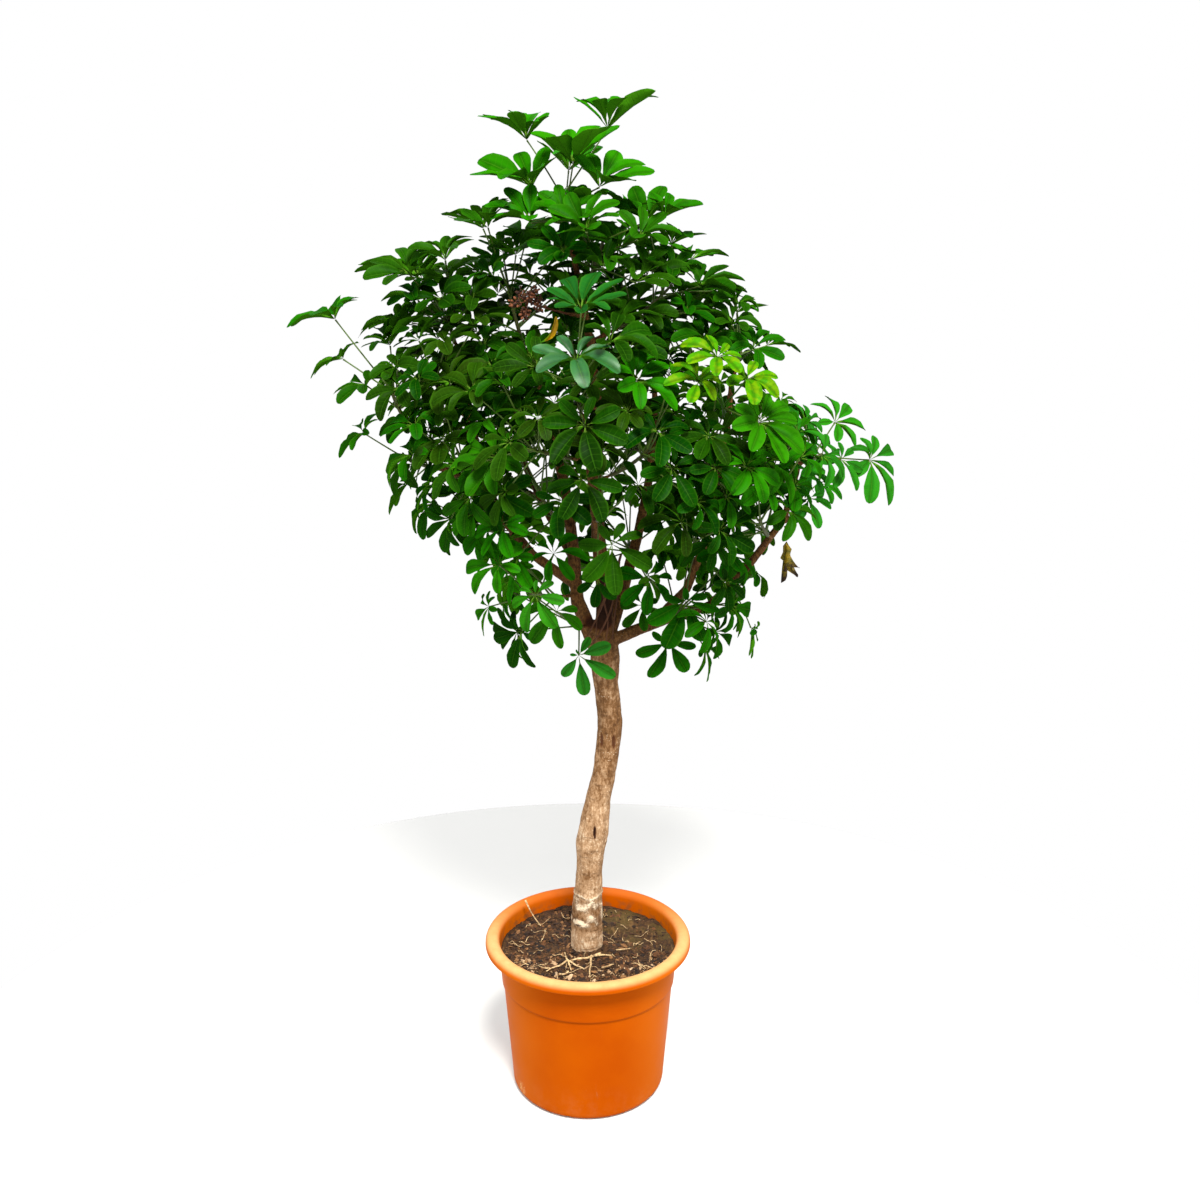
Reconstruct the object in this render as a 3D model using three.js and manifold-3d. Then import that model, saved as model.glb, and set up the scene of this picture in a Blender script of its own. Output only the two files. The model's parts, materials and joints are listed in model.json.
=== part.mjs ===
// A potted umbrella plant (Schefflera arboricola), grown as a small tree: one bare trunk in a
// moulded nursery pot, forked limbs, and leafy shoots whose leaves are rounds of leaflets on long
// stalks. Millimetres, +Z up, origin at the centre of the pot's underside, front towards -Y.
import * as THREE from 'three';
import { mergeVertices } from 'three/addons/utils/BufferGeometryUtils.js';
import Module from 'manifold-3d';

const wasm = await Module();
wasm.setup();

// ---- driving dimensions -----------------------------------------------------------------------
const GAP = 0.3; // between pieces that rest against each other

const POT_HEIGHT = 275; // underside to the top of the rim
const RIM_RADIUS = 175; // outermost radius of the rolled rim
const RIM_CREST_RADIUS = 164;
const RIM_DROP = 16; // how far the rolled rim hangs down outside the wall
const WALL = 3;
const WALL_RADIUS_TOP = 153; // outside of the wall just beneath the rim
const WALL_RADIUS_FOOT = 131; // outside of the wall just above the rounded foot
const FOOT_ROUND = 12; // radius of the rounded edge at the foot
const LEDGE_HEIGHT = 192; // moulded step where the upper band begins
const LEDGE = 2.5;
const POT_SIDES = 24;
const HOLE_SIDES = 8;
const DRAIN_HOLE_RADIUS = 7;
const DRAIN_HOLES = 6;
const DRAIN_HOLE_CIRCLE = 78;
const DRAIN_SLOTS = 4; // small arches through the foot
const DRAIN_SLOT_RADIUS = 6;
const FIRST_SLOT_ANGLE = -104; // degrees; the slot seen at the front left

const SOIL_HEIGHT = 247;
const SOIL_MOUND = 4; // how much the soil rises towards the trunk

// The trunk's centre line: x, y, z and radius.
const TRUNK = [
  [-2, 0, 150, 29], [-2, 0, 200, 29], [-2, 0, 250, 29], [-2, 0, 287, 27.5], [0, 0, 334, 25.5],
  [2, 0, 371, 22.5], [4, 0, 411, 22.5], [6, 0, 444, 27], [12, 0, 480, 25], [17, 0, 516, 21.5],
  [25, 0, 551, 19.5], [31, 0, 587, 20], [35, 0, 621, 20], [37, 0, 656, 22], [34, 0, 690, 19.5],
  [30, 0, 725, 21], [29, 0, 752, 24.5], [28, 0, 786, 27], [28, 0, 802, 20],
];
const TRUNK_SIDES = 10;
const TRUNK_STEPS = 16;

// The limbs' centre lines, each with its radius at the start and at the end.
const LIMBS = {
  left: { radii: [15, 5.5], line: [[18, 0, 772], [-3, 0, 825], [-21, 5, 875], [-22, 10, 915],
    [-25, 15, 985], [-40, 25, 1060], [-62, 40, 1140], [-80, 48, 1210]] },
  farLeft: { radii: [9, 4.5], line: [[-21, 5, 884], [-75, -12, 925], [-128, -20, 985],
    [-155, -15, 1045], [-172, 0, 1110], [-185, 10, 1180], [-196, 20, 1245]] },
  lowLeft: { radii: [6.5, 4], line: [[-150, -16, 1032], [-205, -5, 1057], [-245, 5, 1092],
    [-275, 8, 1135]] },
  centre: { radii: [17, 4.5], line: [[27, 0, 784], [29, 0, 858], [21, 0, 923], [16, 0, 988],
    [14, 0, 1051], [17, 0, 1113], [19, -2, 1174], [8, -8, 1250], [-6, -14, 1325],
    [-20, -18, 1395]] },
  back: { radii: [13, 4.5], line: [[34, 6, 796], [56, 40, 858], [71, 72, 907], [84, 98, 948],
    [98, 120, 1010], [108, 135, 1080], [112, 140, 1150], [110, 135, 1215]] },
  right: { radii: [11.5, 4.5], line: [[34, 0, 790], [77, -6, 812], [117, -10, 826],
    [167, -10, 830], [197, -10, 852], [230, -6, 882], [268, 0, 930], [309, 0, 986],
    [316, 4, 1035], [332, 10, 1075]] },
  upperRight: { radii: [8.5, 4.5], line: [[105, -8, 822], [140, -18, 850], [163, -24, 895],
    [180, -26, 943], [196, -26, 1005], [208, -22, 1070], [216, -16, 1140], [222, -10, 1205]] },
  front: { radii: [7.5, 4.5], line: [[20, 0, 940], [14, -45, 985], [10, -90, 1035],
    [4, -125, 1095], [-4, -150, 1160]] },
  backLeft: { radii: [7.5, 4.5], line: [[-23, 12, 925], [-50, 60, 965], [-85, 110, 1010],
    [-110, 145, 1075], [-120, 165, 1140]] },
  cutStub: { radii: [4.5, 4], line: [[309, 0, 986], [324, -2, 990], [340, 0, 993]] },
};
const LIMB_SIDES = 6;
const LIMB_STEP = 92; // length of limb per ring

// The leafy shoots. Each leaves a limb at a share of its length and grows to its tip. "placed" are
// the leaves that make the plant's outline: the point where the leaflets meet, and their reach.
// "leaves" is how many more the growing rule adds along the shoot.
const SHOOTS = {
  top: { on: 'centre', at: 1, tip: [-34, -25, 1478], leaves: 3, placed: [[-95, -20, 1549, 74],
    [32, 0, 1568, 82], [-18, -60, 1511, 78], [22, -70, 1480, 74], [-77, -50, 1482, 82]] },
  topRight: { on: 'centre', at: 0.9, tip: [26, -45, 1410], leaves: 4,
    placed: [[9, -60, 1460, 56]] },
  topLeft: { on: 'left', at: 1, tip: [-118, 0, 1345], leaves: 2,
    placed: [[-141, -60, 1425, 64], [-122, 0, 1379, 54], [-100, 40, 1413, 72]] },
  topBack: { on: 'back', at: 1, tip: [50, 110, 1370], leaves: 5, placed: [] },
  rightTop: { on: 'centre', at: 0.78, tip: [128, 5, 1345], leaves: 3,
    placed: [[127, -20, 1404, 62], [162, 40, 1382, 60], [166, -60, 1337, 64]] },
  farLeftTop: { on: 'farLeft', at: 1, tip: [-212, 20, 1300], leaves: 2,
    placed: [[-253, 20, 1361, 100], [-169, 60, 1362, 70], [-206, -60, 1323, 66]] },
  left: { on: 'lowLeft', at: 1, tip: [-302, 0, 1195], leaves: 1,
    placed: [[-381, 0, 1296, 80], [-310, -20, 1270, 76], [-376, 20, 1232, 66],
      [-330, -40, 1199, 60]] },
  leftLow: { on: 'lowLeft', at: 0.45, tip: [-285, 5, 1085], leaves: 2,
    placed: [[-345, 0, 1124, 58], [-285, 30, 1042, 58]] },
  leftMiddle: { on: 'farLeft', at: 0.75, tip: [-225, -60, 1205], leaves: 3,
    placed: [[-255, -60, 1266, 62], [-263, 70, 1239, 60]] },
  leftFront: { on: 'farLeft', at: 0.55, tip: [-180, -120, 1075], leaves: 3,
    placed: [[-206, -130, 1125, 68]] },
  frontLeft: { on: 'front', at: 0.75, tip: [-75, -195, 1120], leaves: 3,
    placed: [[-104, -250, 1136, 66], [-42, -215, 1186, 62]] },
  frontTop: { on: 'front', at: 1, tip: [-14, -190, 1212], leaves: 2,
    placed: [[-13, -245, 1245, 76], [-5, -200, 1308, 72], [75, -200, 1262, 62]] },
  frontRight: { on: 'front', at: 0.6, tip: [92, -170, 1120], leaves: 2,
    placed: [[136, -220, 1165, 64], [119, -230, 1098, 62], [116, -180, 1211, 62]] },
  frontLow: { on: 'front', at: 0.3, tip: [25, -170, 1020], leaves: 2,
    placed: [[21, -220, 1122, 60], [76, -200, 1068, 62], [38, -190, 985, 70]] },
  frontInner: { on: 'left', at: 0.45, tip: [-70, -120, 1050], leaves: 3,
    placed: [[-35, -220, 1053, 62]] },
  youngRight: { on: 'upperRight', at: 0.85, tip: [190, -165, 1190], leaves: 1, young: true,
    placed: [[179, -215, 1246, 58], [160, -228, 1215, 58], [222, -190, 1216, 60]] },
  rightHigh: { on: 'upperRight', at: 1, tip: [236, -10, 1258], leaves: 3,
    placed: [[228, 0, 1306, 60], [282, 50, 1256, 58]] },
  rightMiddle: { on: 'upperRight', at: 0.65, tip: [165, -120, 1110], leaves: 3,
    placed: [[170, -200, 1140, 60]] },
  rightEnd: { on: 'right', at: 1, tip: [368, 5, 1092], leaves: 0,
    placed: [[388, 20, 1139, 70], [436, -20, 1085, 76], [385, -60, 1090, 54]] },
  rightEndLow: { on: 'right', at: 0.86, tip: [342, -12, 1020], leaves: 1,
    placed: [[368, 30, 1042, 54], [352, -60, 1016, 54]] },
  rightBackEnd: { on: 'right', at: 0.94, tip: [338, 60, 1078], leaves: 2,
    placed: [[359, 75, 1106, 58]] },
  rightFront: { on: 'right', at: 0.72, tip: [258, -105, 1005], leaves: 3,
    placed: [[252, -155, 1065, 64], [272, -20, 962, 60]] },
  rightLow: { on: 'right', at: 0.5, tip: [240, 5, 865], leaves: 1,
    placed: [[258, 0, 817, 58], [272, 30, 898, 56]] },
  lowRight: { on: 'right', at: 0.24, tip: [150, -35, 858], leaves: 1,
    placed: [[127, -60, 806, 66], [187, -20, 794, 62], [88, -50, 862, 50]] },
  lowFrontRight: { on: 'upperRight', at: 0.38, tip: [145, -140, 970], leaves: 3,
    placed: [[135, -195, 1018, 68]] },
  lowLeft: { on: 'left', at: 0.22, tip: [-85, -105, 895], leaves: 1,
    placed: [[-126, -165, 950, 70], [-78, -205, 925, 64], [-101, -70, 826, 66],
      [-152, -60, 862, 48]] },
  lowFront: { on: 'left', at: 0.1, tip: [-28, -66, 842], leaves: 0,
    placed: [[-12, -100, 795, 54], [-44, -130, 872, 60]] },
  lowLeftBack: { on: 'farLeft', at: 0.3, tip: [-180, 55, 965], leaves: 4, placed: [] },
  backLeft: { on: 'backLeft', at: 1, tip: [-150, 192, 1195], leaves: 4, placed: [] },
  backLeftLow: { on: 'backLeft', at: 0.5, tip: [-145, 190, 1030], leaves: 4, placed: [] },
  farLeftBack: { on: 'farLeft', at: 0.7, tip: [-245, 105, 1140], leaves: 3, placed: [] },
  backMiddle: { on: 'back', at: 0.7, tip: [45, 240, 1085], leaves: 4, placed: [] },
  backRight: { on: 'back', at: 0.55, tip: [180, 205, 1060], leaves: 4, placed: [] },
  backHigh: { on: 'back', at: 0.88, tip: [175, 150, 1245], leaves: 4, placed: [] },
  backTop: { on: 'centre', at: 0.8, tip: [-40, 120, 1290], leaves: 4, placed: [] },
  backLow: { on: 'back', at: 0.3, tip: [70, 170, 925], leaves: 4, placed: [] },
  rightBack: { on: 'right', at: 0.78, tip: [295, 120, 1030], leaves: 4, placed: [] },
};
const WOODY_SHARE = 0.35; // the share of a shoot, from its limb, that has turned to wood
const SHOOT_SIDES = 4;
const TWIG_RADIUS = 4.2;
const SHOOT_RADIUS = 3.2;
const SHOOT_TIP_RADIUS = 2.3;

const BLADE = 1.3; // thickness of a leaf
const STALK_RADIUS = 1.5;
const NOTCH = 0.2; // how near the leaf's middle the gaps between leaflets reach
const SHOULDER = 0.78; // where a leaflet is widest, as a share of its length
const SHOULDER_TURN = 0.33; // off the leaflet's rib, as a share of the turn between leaflets
const TIP_TURN = 0.16;
const LEAF_REACH = [66, 84]; // from the leaf's middle to the tip of its longest leaflet
const STALK_LENGTH = [105, 58]; // low on a shoot and at its tip
const PLACED_STALK = 78; // the usual stalk of a leaf that has a place of its own
const STALK_SPREAD = [78, 34]; // degrees from the shoot, low on it and at its tip
const LIGHT = new THREE.Vector3(0, -0.3, 0.85); // what a leaf's face turns to
const FACE_OUTWARD = 0.62; // its pull out of the crown, and then along its stalk
const FACE_ALONG = 0.5;
const LEAST_LEAN = 0.5; // cosine of the widest angle between a leaf's face and its stalk
const CUP = [4, 36]; // degrees that leaflets rise off flat, at the crown's foot and at its top
const SAG = [0.8, 0.12]; // how far leaflets hang, as a share of their length
const ARCH = 0.26; // how much leaflets arch before they hang
const DROOP_IN_PLANE = 0.3; // the share of the hanging that also pulls a leaflet along the blade
const SHORTEST_LEAFLET = 0.6; // next to the stalk, as a share of the longest
const LARGE_LEAF = 81; // leaves that reach further have six leaflets, the others five
const GOLDEN_ANGLE = 137.5;
// The crown's outline seen from the front: height, and x at its left and right edge.
const CROWN = [[750, -140, 190], [858, -165, 280], [956, -215, 315], [1019, -290, 400],
  [1082, -335, 480], [1144, -380, 440], [1205, -390, 310], [1265, -420, 315], [1324, -400, 265],
  [1382, -280, 190], [1439, -195, 170], [1496, -165, 110], [1551, -135, 90], [1610, -60, 115]];
const CROWN_DEPTH = 0.78; // its depth as a share of its width
const CROWN_MIDDLE = new THREE.Vector3(20, 0, 1090);
const CROWN_LOW = 820; // leaves hang below this height and are cupped above CROWN_HIGH
const CROWN_HIGH = 1480;
const TRIES = 70; // places tried for a leaf before it is left out
const SPIN = 0.6; // radians that a leaf may turn about its middle to fit
const PLACE_SHIFT = 0.6; // how much further from its place each try may set a leaf
const LEAF_ROOM = 1.1; // clear room kept above and below every leaf

// A dried flower spray on a twig of its own, and a dead leaf that hangs under the right limb.
const SPRAY = { on: 'centre', at: 0.84, tip: [-86, -66, 1322] };
const SPRAY_ARMS = 8;
const SPRAY_ARM = [19, 29];
const BUD_RADIUS = 3.6;
const DEAD_LEAF = {
  middle: [315, -4, 954], root: [312, -3, 978], facing: [0.15, -0.25, -1], reach: 44,
};

// Surface roots on the soil in front of the trunk: x and y of each root's ends.
const SURFACE_ROOTS = [[22, -36, -33, -57], [-33, -57, -68, -88], [-33, -57, -39, -29],
  [-33, -57, -6, -82], [-33, -57, -27, -86], [6, -43, 4, -106], [6, -43, 40, -37]];
const SURFACE_ROOT_RADIUS = 1.7;

const scene = new THREE.Group();

// ---- colours ----------------------------------------------------------------------------------
const finish = (color, roughness) =>
  new THREE.MeshStandardMaterial({ color, roughness, metalness: 0 });
const potPlastic = finish(0xdf6a08, 0.5);
const soilBrown = finish(0x4b3422, 0.95);
const bark = finish(0x9b8058, 0.85);
const leafGreens = [finish(0x1d6116, 0.4), finish(0x2b7320, 0.4), finish(0x17550f, 0.4)];
const youngGreen = finish(0x8ecb22, 0.4);
const driedBrown = finish(0x6e3a1c, 0.9);
const rootPale = finish(0xc8aa86, 0.9);
const deadYellow = finish(0x9a8430, 0.7);

// ---- from three.js geometry to solids and back -------------------------------------------------
const point = (list) => new THREE.Vector3(list[0], list[1], list[2]);

function solidFrom(positions, triangles) {
  const vertProperties = new Float32Array(positions);
  return new wasm.Manifold(new wasm.Mesh({
    numProp: 3, vertProperties, triVerts: new Uint32Array(triangles),
  }));
}

function solidOf(geometry) {
  geometry.deleteAttribute('normal');
  geometry.deleteAttribute('uv');
  const merged = mergeVertices(geometry, 1e-4);
  const corners = Array.from(merged.index.array);
  const triangles = [];
  for (let i = 0; i < corners.length; i += 3) {
    const [a, b, c] = corners.slice(i, i + 3);
    if (a !== b && b !== c && c !== a) triangles.push(a, b, c);
  }
  return solidFrom(merged.attributes.position.array, triangles);
}

function addPiece(name, solid, material) {
  const mesh = solid.getMesh();
  const geometry = new THREE.BufferGeometry();
  geometry.setAttribute('position', new THREE.BufferAttribute(mesh.vertProperties, 3));
  geometry.setIndex(new THREE.BufferAttribute(mesh.triVerts, 1));
  geometry.computeVertexNormals();
  const piece = new THREE.Mesh(geometry, material);
  piece.name = name;
  scene.add(piece);
}

// A seeded draw between two values, the same on every run.
let seed = 7321;
function draw(low, high) {
  seed = (Math.imul(seed, 1664525) + 1013904223) >>> 0;
  return low + (high - low) * (seed / 4294967296);
}

// ---- pot --------------------------------------------------------------------------------------
const wallRadius = (height) => THREE.MathUtils.mapLinear(
  height, FOOT_ROUND, POT_HEIGHT - RIM_DROP, WALL_RADIUS_FOOT, WALL_RADIUS_TOP - LEDGE);

// The inside of the wall has no step.
const innerRadius = (height) => THREE.MathUtils.mapLinear(
  height, FOOT_ROUND, POT_HEIGHT - RIM_DROP, WALL_RADIUS_FOOT - WALL, WALL_RADIUS_TOP - WALL);

function lathe(profile, sides) {
  const points = profile.map(([radius, height]) => new THREE.Vector2(radius, height));
  return solidOf(new THREE.LatheGeometry(points, sides).rotateX(Math.PI / 2));
}

function drill(radius, from, to) {
  const hole = new THREE.CylinderGeometry(radius, radius, from.distanceTo(to), HOLE_SIDES);
  const turn = new THREE.Quaternion().setFromUnitVectors(
    new THREE.Vector3(0, 1, 0), to.clone().sub(from).normalize());
  const middle = from.clone().lerp(to, 0.5);
  return solidOf(hole.applyQuaternion(turn).translate(middle.x, middle.y, middle.z));
}

const onCircle = (radius, degrees, height) => new THREE.Vector3(
  radius * Math.cos(THREE.MathUtils.degToRad(degrees)),
  radius * Math.sin(THREE.MathUtils.degToRad(degrees)), height);

function pot() {
  const skirt = POT_HEIGHT - RIM_DROP;
  const underRim = POT_HEIGHT - 2 * WALL;
  const upper = wallRadius(LEDGE_HEIGHT) + LEDGE;
  let body = lathe([
    [0, 0], [WALL_RADIUS_FOOT - FOOT_ROUND, 0], [WALL_RADIUS_FOOT - FOOT_ROUND * 0.35, 3],
    [WALL_RADIUS_FOOT, FOOT_ROUND], [wallRadius(LEDGE_HEIGHT), LEDGE_HEIGHT],
    [upper, LEDGE_HEIGHT + 2], [WALL_RADIUS_TOP, underRim], [RIM_RADIUS - WALL - 1, underRim],
    [RIM_RADIUS - WALL, skirt], [RIM_RADIUS, skirt], [RIM_RADIUS, POT_HEIGHT - 8],
    [RIM_RADIUS - 4, POT_HEIGHT - 2], [RIM_CREST_RADIUS, POT_HEIGHT],
    [RIM_CREST_RADIUS - 8, POT_HEIGHT - 2],
    [innerRadius(POT_HEIGHT - 9), POT_HEIGHT - 9],
    [innerRadius(FOOT_ROUND), FOOT_ROUND], [WALL_RADIUS_FOOT - FOOT_ROUND, WALL], [0, WALL],
  ], POT_SIDES);
  for (let i = 0; i < DRAIN_HOLES; i += 1) {
    const angle = (i + 0.5) * (360 / DRAIN_HOLES);
    body = body.subtract(drill(DRAIN_HOLE_RADIUS,
      onCircle(DRAIN_HOLE_CIRCLE, angle, -1), onCircle(DRAIN_HOLE_CIRCLE, angle, WALL + 1)));
  }
  for (let i = 0; i < DRAIN_SLOTS; i += 1) {
    const angle = FIRST_SLOT_ANGLE + i * (360 / DRAIN_SLOTS);
    body = body.subtract(drill(DRAIN_SLOT_RADIUS,
      onCircle(WALL_RADIUS_FOOT - 16, angle, 0), onCircle(WALL_RADIUS_FOOT + 4, angle, 0)));
  }
  return body;
}

// ---- soil -------------------------------------------------------------------------------------
function soil() {
  const reach = (height) => innerRadius(height) - GAP / Math.cos(Math.PI / POT_SIDES);
  const fill = lathe([
    [0, WALL + GAP], [WALL_RADIUS_FOOT - FOOT_ROUND - 1, WALL + GAP],
    [reach(FOOT_ROUND + 1), FOOT_ROUND + 1], [reach(SOIL_HEIGHT), SOIL_HEIGHT],
    [90, SOIL_HEIGHT + 1],
    [45, SOIL_HEIGHT + SOIL_MOUND], [0, SOIL_HEIGHT + SOIL_MOUND],
  ], POT_SIDES);
  const [x, y, z, radius] = TRUNK[0];
  const hole = (radius + GAP) / Math.cos(Math.PI / HOLE_SIDES);
  return fill.subtract(drill(hole, new THREE.Vector3(x, y, z - GAP),
    new THREE.Vector3(x, y, SOIL_HEIGHT + 20)));
}

// ---- trunk, limbs and twigs --------------------------------------------------------------------
// A round, tapering solid along the stretch of a curve between two shares of its length.
function taper(curve, radiusAt, sides, steps, from = 0, to = 1) {
  const rings = [];
  let across = null;
  for (let i = 0; i <= steps; i += 1) {
    const share = from + (to - from) * (i / steps);
    const along = curve.getTangentAt(share);
    across = across ?? (Math.abs(along.x) < 0.8
      ? new THREE.Vector3(1, 0, 0) : new THREE.Vector3(0, 1, 0));
    across = across.clone().projectOnPlane(along).normalize();
    const beside = across.clone().cross(along);
    rings.push({ middle: curve.getPointAt(share), across, beside, radius: radiusAt(i / steps) });
  }
  const tube = new THREE.CylinderGeometry(1, 1, 1, sides, steps);
  const spots = tube.attributes.position;
  for (let i = 0; i < spots.count; i += 1) {
    const ring = rings[Math.round((spots.getY(i) + 0.5) * steps)];
    const spot = ring.middle.clone()
      .addScaledVector(ring.across, spots.getX(i) * ring.radius)
      .addScaledVector(ring.beside, spots.getZ(i) * ring.radius);
    spots.setXYZ(i, spot.x, spot.y, spot.z);
  }
  return solidOf(tube);
}

const lineOf = (points) => new THREE.CatmullRomCurve3(points.map(point), false, 'centripetal');

function trunkStem() {
  const curve = lineOf(TRUNK);
  const radiusAt = (share) => {
    const height = curve.getPointAt(share).z;
    const above = Math.max(1, TRUNK.findIndex((entry) => entry[2] >= height));
    const [low, high] = [TRUNK[above - 1], TRUNK[above]];
    return THREE.MathUtils.mapLinear(height, low[2], high[2], low[3], high[3]);
  };
  return taper(curve, radiusAt, TRUNK_SIDES, TRUNK_STEPS);
}

const limbCurves = {};
const woodPieces = [trunkStem()];
for (const [name, { line, radii }] of Object.entries(LIMBS)) {
  const curve = lineOf(line);
  limbCurves[name] = curve;
  const steps = Math.max(2, Math.round(curve.getLength() / LIMB_STEP));
  const radiusAt = (share) => THREE.MathUtils.lerp(radii[0], radii[1], share ** 0.8);
  woodPieces.push(taper(curve, radiusAt, LIMB_SIDES, steps));
}

// A shoot bends out of its limb first and turns up towards the light.
function shootCurve({ on, at, tip }) {
  const start = limbCurves[on].getPointAt(at);
  const end = point(tip);
  const bend = new THREE.Vector3(
    THREE.MathUtils.lerp(start.x, end.x, 0.6),
    THREE.MathUtils.lerp(start.y, end.y, 0.6),
    THREE.MathUtils.lerp(start.z, end.z, 0.35));
  return new THREE.QuadraticBezierCurve3(start, bend, end);
}

const shoots = Object.entries(SHOOTS).map(([name, plan]) => {
  const curve = shootCurve(plan);
  const twigAt = (share) => THREE.MathUtils.lerp(TWIG_RADIUS, SHOOT_RADIUS, share);
  woodPieces.push(taper(curve, twigAt, SHOOT_SIDES, 1, 0, WOODY_SHARE));
  const greenAt = (share) => THREE.MathUtils.lerp(SHOOT_RADIUS, SHOOT_TIP_RADIUS, share);
  const green = WOODY_SHARE + (GAP + 0.2) / curve.getLength();
  return { name, plan, curve, stem: taper(curve, greenAt, SHOOT_SIDES, 2, green, 1), leaves: [] };
});

// Thin arms round the end of a stalk, each with a dried bud.
function driedSpray() {
  const curve = shootCurve(SPRAY);
  const start = WOODY_SHARE + (GAP + 0.2) / curve.getLength();
  const hub = curve.getPointAt(0.97);
  let spray = taper(curve, () => 1.9, SHOOT_SIDES, 2, start, 1);
  for (let i = 0; i < SPRAY_ARMS; i += 1) {
    const turn = THREE.MathUtils.degToRad(i * GOLDEN_ANGLE);
    const lift = 1 - (2 * (i + 0.5)) / SPRAY_ARMS;
    const flat = Math.sqrt(1 - lift * lift);
    const end = new THREE.Vector3(Math.cos(turn) * flat, Math.sin(turn) * flat, lift)
      .multiplyScalar(draw(...SPRAY_ARM)).add(hub);
    const bud = new THREE.OctahedronGeometry(BUD_RADIUS).translate(end.x, end.y, end.z);
    spray = spray.add(taper(new THREE.LineCurve3(hub, end), () => 1.2, 3, 1)).add(solidOf(bud));
  }
  return spray;
}
{
  const twigAt = (share) => THREE.MathUtils.lerp(TWIG_RADIUS, SHOOT_RADIUS, share);
  woodPieces.push(taper(shootCurve(SPRAY), twigAt, SHOOT_SIDES, 1, 0, WOODY_SHARE));
}

function surfaceRoots() {
  const height = SOIL_HEIGHT + SOIL_MOUND + SURFACE_ROOT_RADIUS + GAP;
  return SURFACE_ROOTS.map(([x1, y1, x2, y2]) => taper(
    new THREE.LineCurve3(point([x1, y1, height]), point([x2, y2, height])),
    (share) => SURFACE_ROOT_RADIUS * (1 - 0.3 * share), 4, 1,
  )).reduce((whole, root) => whole.add(root));
}

// ---- leaves -----------------------------------------------------------------------------------
// How a leaf spreads from its middle: its leaflets' directions and lengths, and the place of a
// spot on a leaflet at an angle from the stalk's direction and a share of a length.
function spread({ middle, root, normal, reach, leaflets, cup, sag, spin }) {
  const ahead = middle.clone().sub(root).projectOnPlane(normal).normalize();
  const aside = normal.clone().cross(ahead);
  const down = new THREE.Vector3(0, 0, -1);
  const fall = down.clone().projectOnVector(normal)
    .addScaledVector(down.clone().projectOnPlane(normal), DROOP_IN_PLANE);
  const towards = (angle) => ahead.clone().multiplyScalar(Math.cos(angle))
    .addScaledVector(aside, Math.sin(angle));
  const spot = (angle, share, length) => {
    const out = length * share * (1 - 0.25 * sag * share);
    const rise = length * (Math.tan(cup) * share + ARCH * share * (1 - share));
    const drop = length * sag * share ** 1.7;
    return middle.clone().addScaledVector(towards(angle), out)
      .addScaledVector(normal, rise).addScaledVector(fall, drop);
  };
  const step = (2 * Math.PI) / leaflets;
  const ribs = Array.from({ length: leaflets }, (_, k) => {
    const angle = (k - (leaflets - 1) / 2) * step + spin;
    const turnedAway = (1 - Math.cos(angle)) / 2;
    return { angle, length: reach * THREE.MathUtils.lerp(1, SHORTEST_LEAFLET, turnedAway) };
  });
  return { towards, spot, step, ribs };
}

// One leaf: leaflets round its middle, cut almost to the middle, cupped or hanging, on a straight
// stalk whose root is sunk into the shoot. "room" makes it thicker, to test what it would touch.
function leafSolid(leaf, room = 0) {
  const { middle, root, normal, reach } = leaf;
  const { towards, spot, step, ribs } = spread(leaf);
  const stalkLine = middle.clone().sub(root).normalize();
  const outline = [];
  for (const [k, { angle, length }] of ribs.entries()) {
    outline.push(spot(angle - step / 2, NOTCH, reach));
    const turn = k % 2 === 0 ? 1 : -1;
    const shoulder = spot(angle - turn * SHOULDER_TURN * step, SHOULDER, length);
    const tip = spot(angle + turn * TIP_TURN * step, 1, length);
    outline.push(...(turn > 0 ? [shoulder, tip] : [tip, shoulder]));
  }
  const count = outline.length;
  const below = (from, depth) => from.clone().addScaledVector(normal, -depth);
  const top = outline.map((from) => below(from, -room));
  const bottom = outline.map((from) => below(from, BLADE + room));
  const stalkRadius = STALK_RADIUS + room;
  const ring = [-1, 0, 1].map((turn) => below(middle, BLADE + room + stalkRadius)
    .addScaledVector(towards(turn * (2 * Math.PI / 3)), stalkRadius));
  const rootRing = [-1, 0, 1].map((turn) => {
    const side = towards(turn * (2 * Math.PI / 3)).projectOnPlane(stalkLine).normalize();
    return root.clone().addScaledVector(side, stalkRadius);
  });
  const spots = [below(middle, -room), ...top, ...bottom, ...ring, ...rootRing];
  const [firstBottom, firstRing, firstRoot] = [1 + count, 1 + 2 * count, 4 + 2 * count];
  const sectorOf = (edge) => Math.min(2, Math.floor(((edge + 0.5) / count) * 3));
  const triangles = [];
  for (let i = 0; i < count; i += 1) {
    const j = (i + 1) % count;
    const sector = firstRing + sectorOf(i);
    const before = firstRing + sectorOf((i + count - 1) % count);
    triangles.push(0, 1 + i, 1 + j);
    triangles.push(1 + i, firstBottom + i, firstBottom + j);
    triangles.push(1 + i, firstBottom + j, 1 + j);
    triangles.push(sector, firstBottom + j, firstBottom + i);
    if (before !== sector) triangles.push(before, sector, firstBottom + i);
  }
  for (let i = 0; i < 3; i += 1) {
    const j = (i + 1) % 3;
    triangles.push(firstRing + j, firstRing + i, firstRoot + i);
    triangles.push(firstRing + j, firstRoot + i, firstRoot + j);
  }
  triangles.push(firstRoot + 2, firstRoot + 1, firstRoot);
  return solidFrom(spots.flatMap((from) => from.toArray()), triangles);
}

// Everything that has grown so far, each with its box, so that later leaves stay clear of it.
const grown = [];
function remember(solid, shoot = null, isStem = false) {
  const { min, max } = solid.boundingBox();
  grown.push({ solid, shoot, isStem, box: new THREE.Box3(point(min), point(max)) });
}
woodPieces.forEach((piece) => remember(piece));
shoots.forEach((shoot) => remember(shoot.stem, shoot, true));

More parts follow.
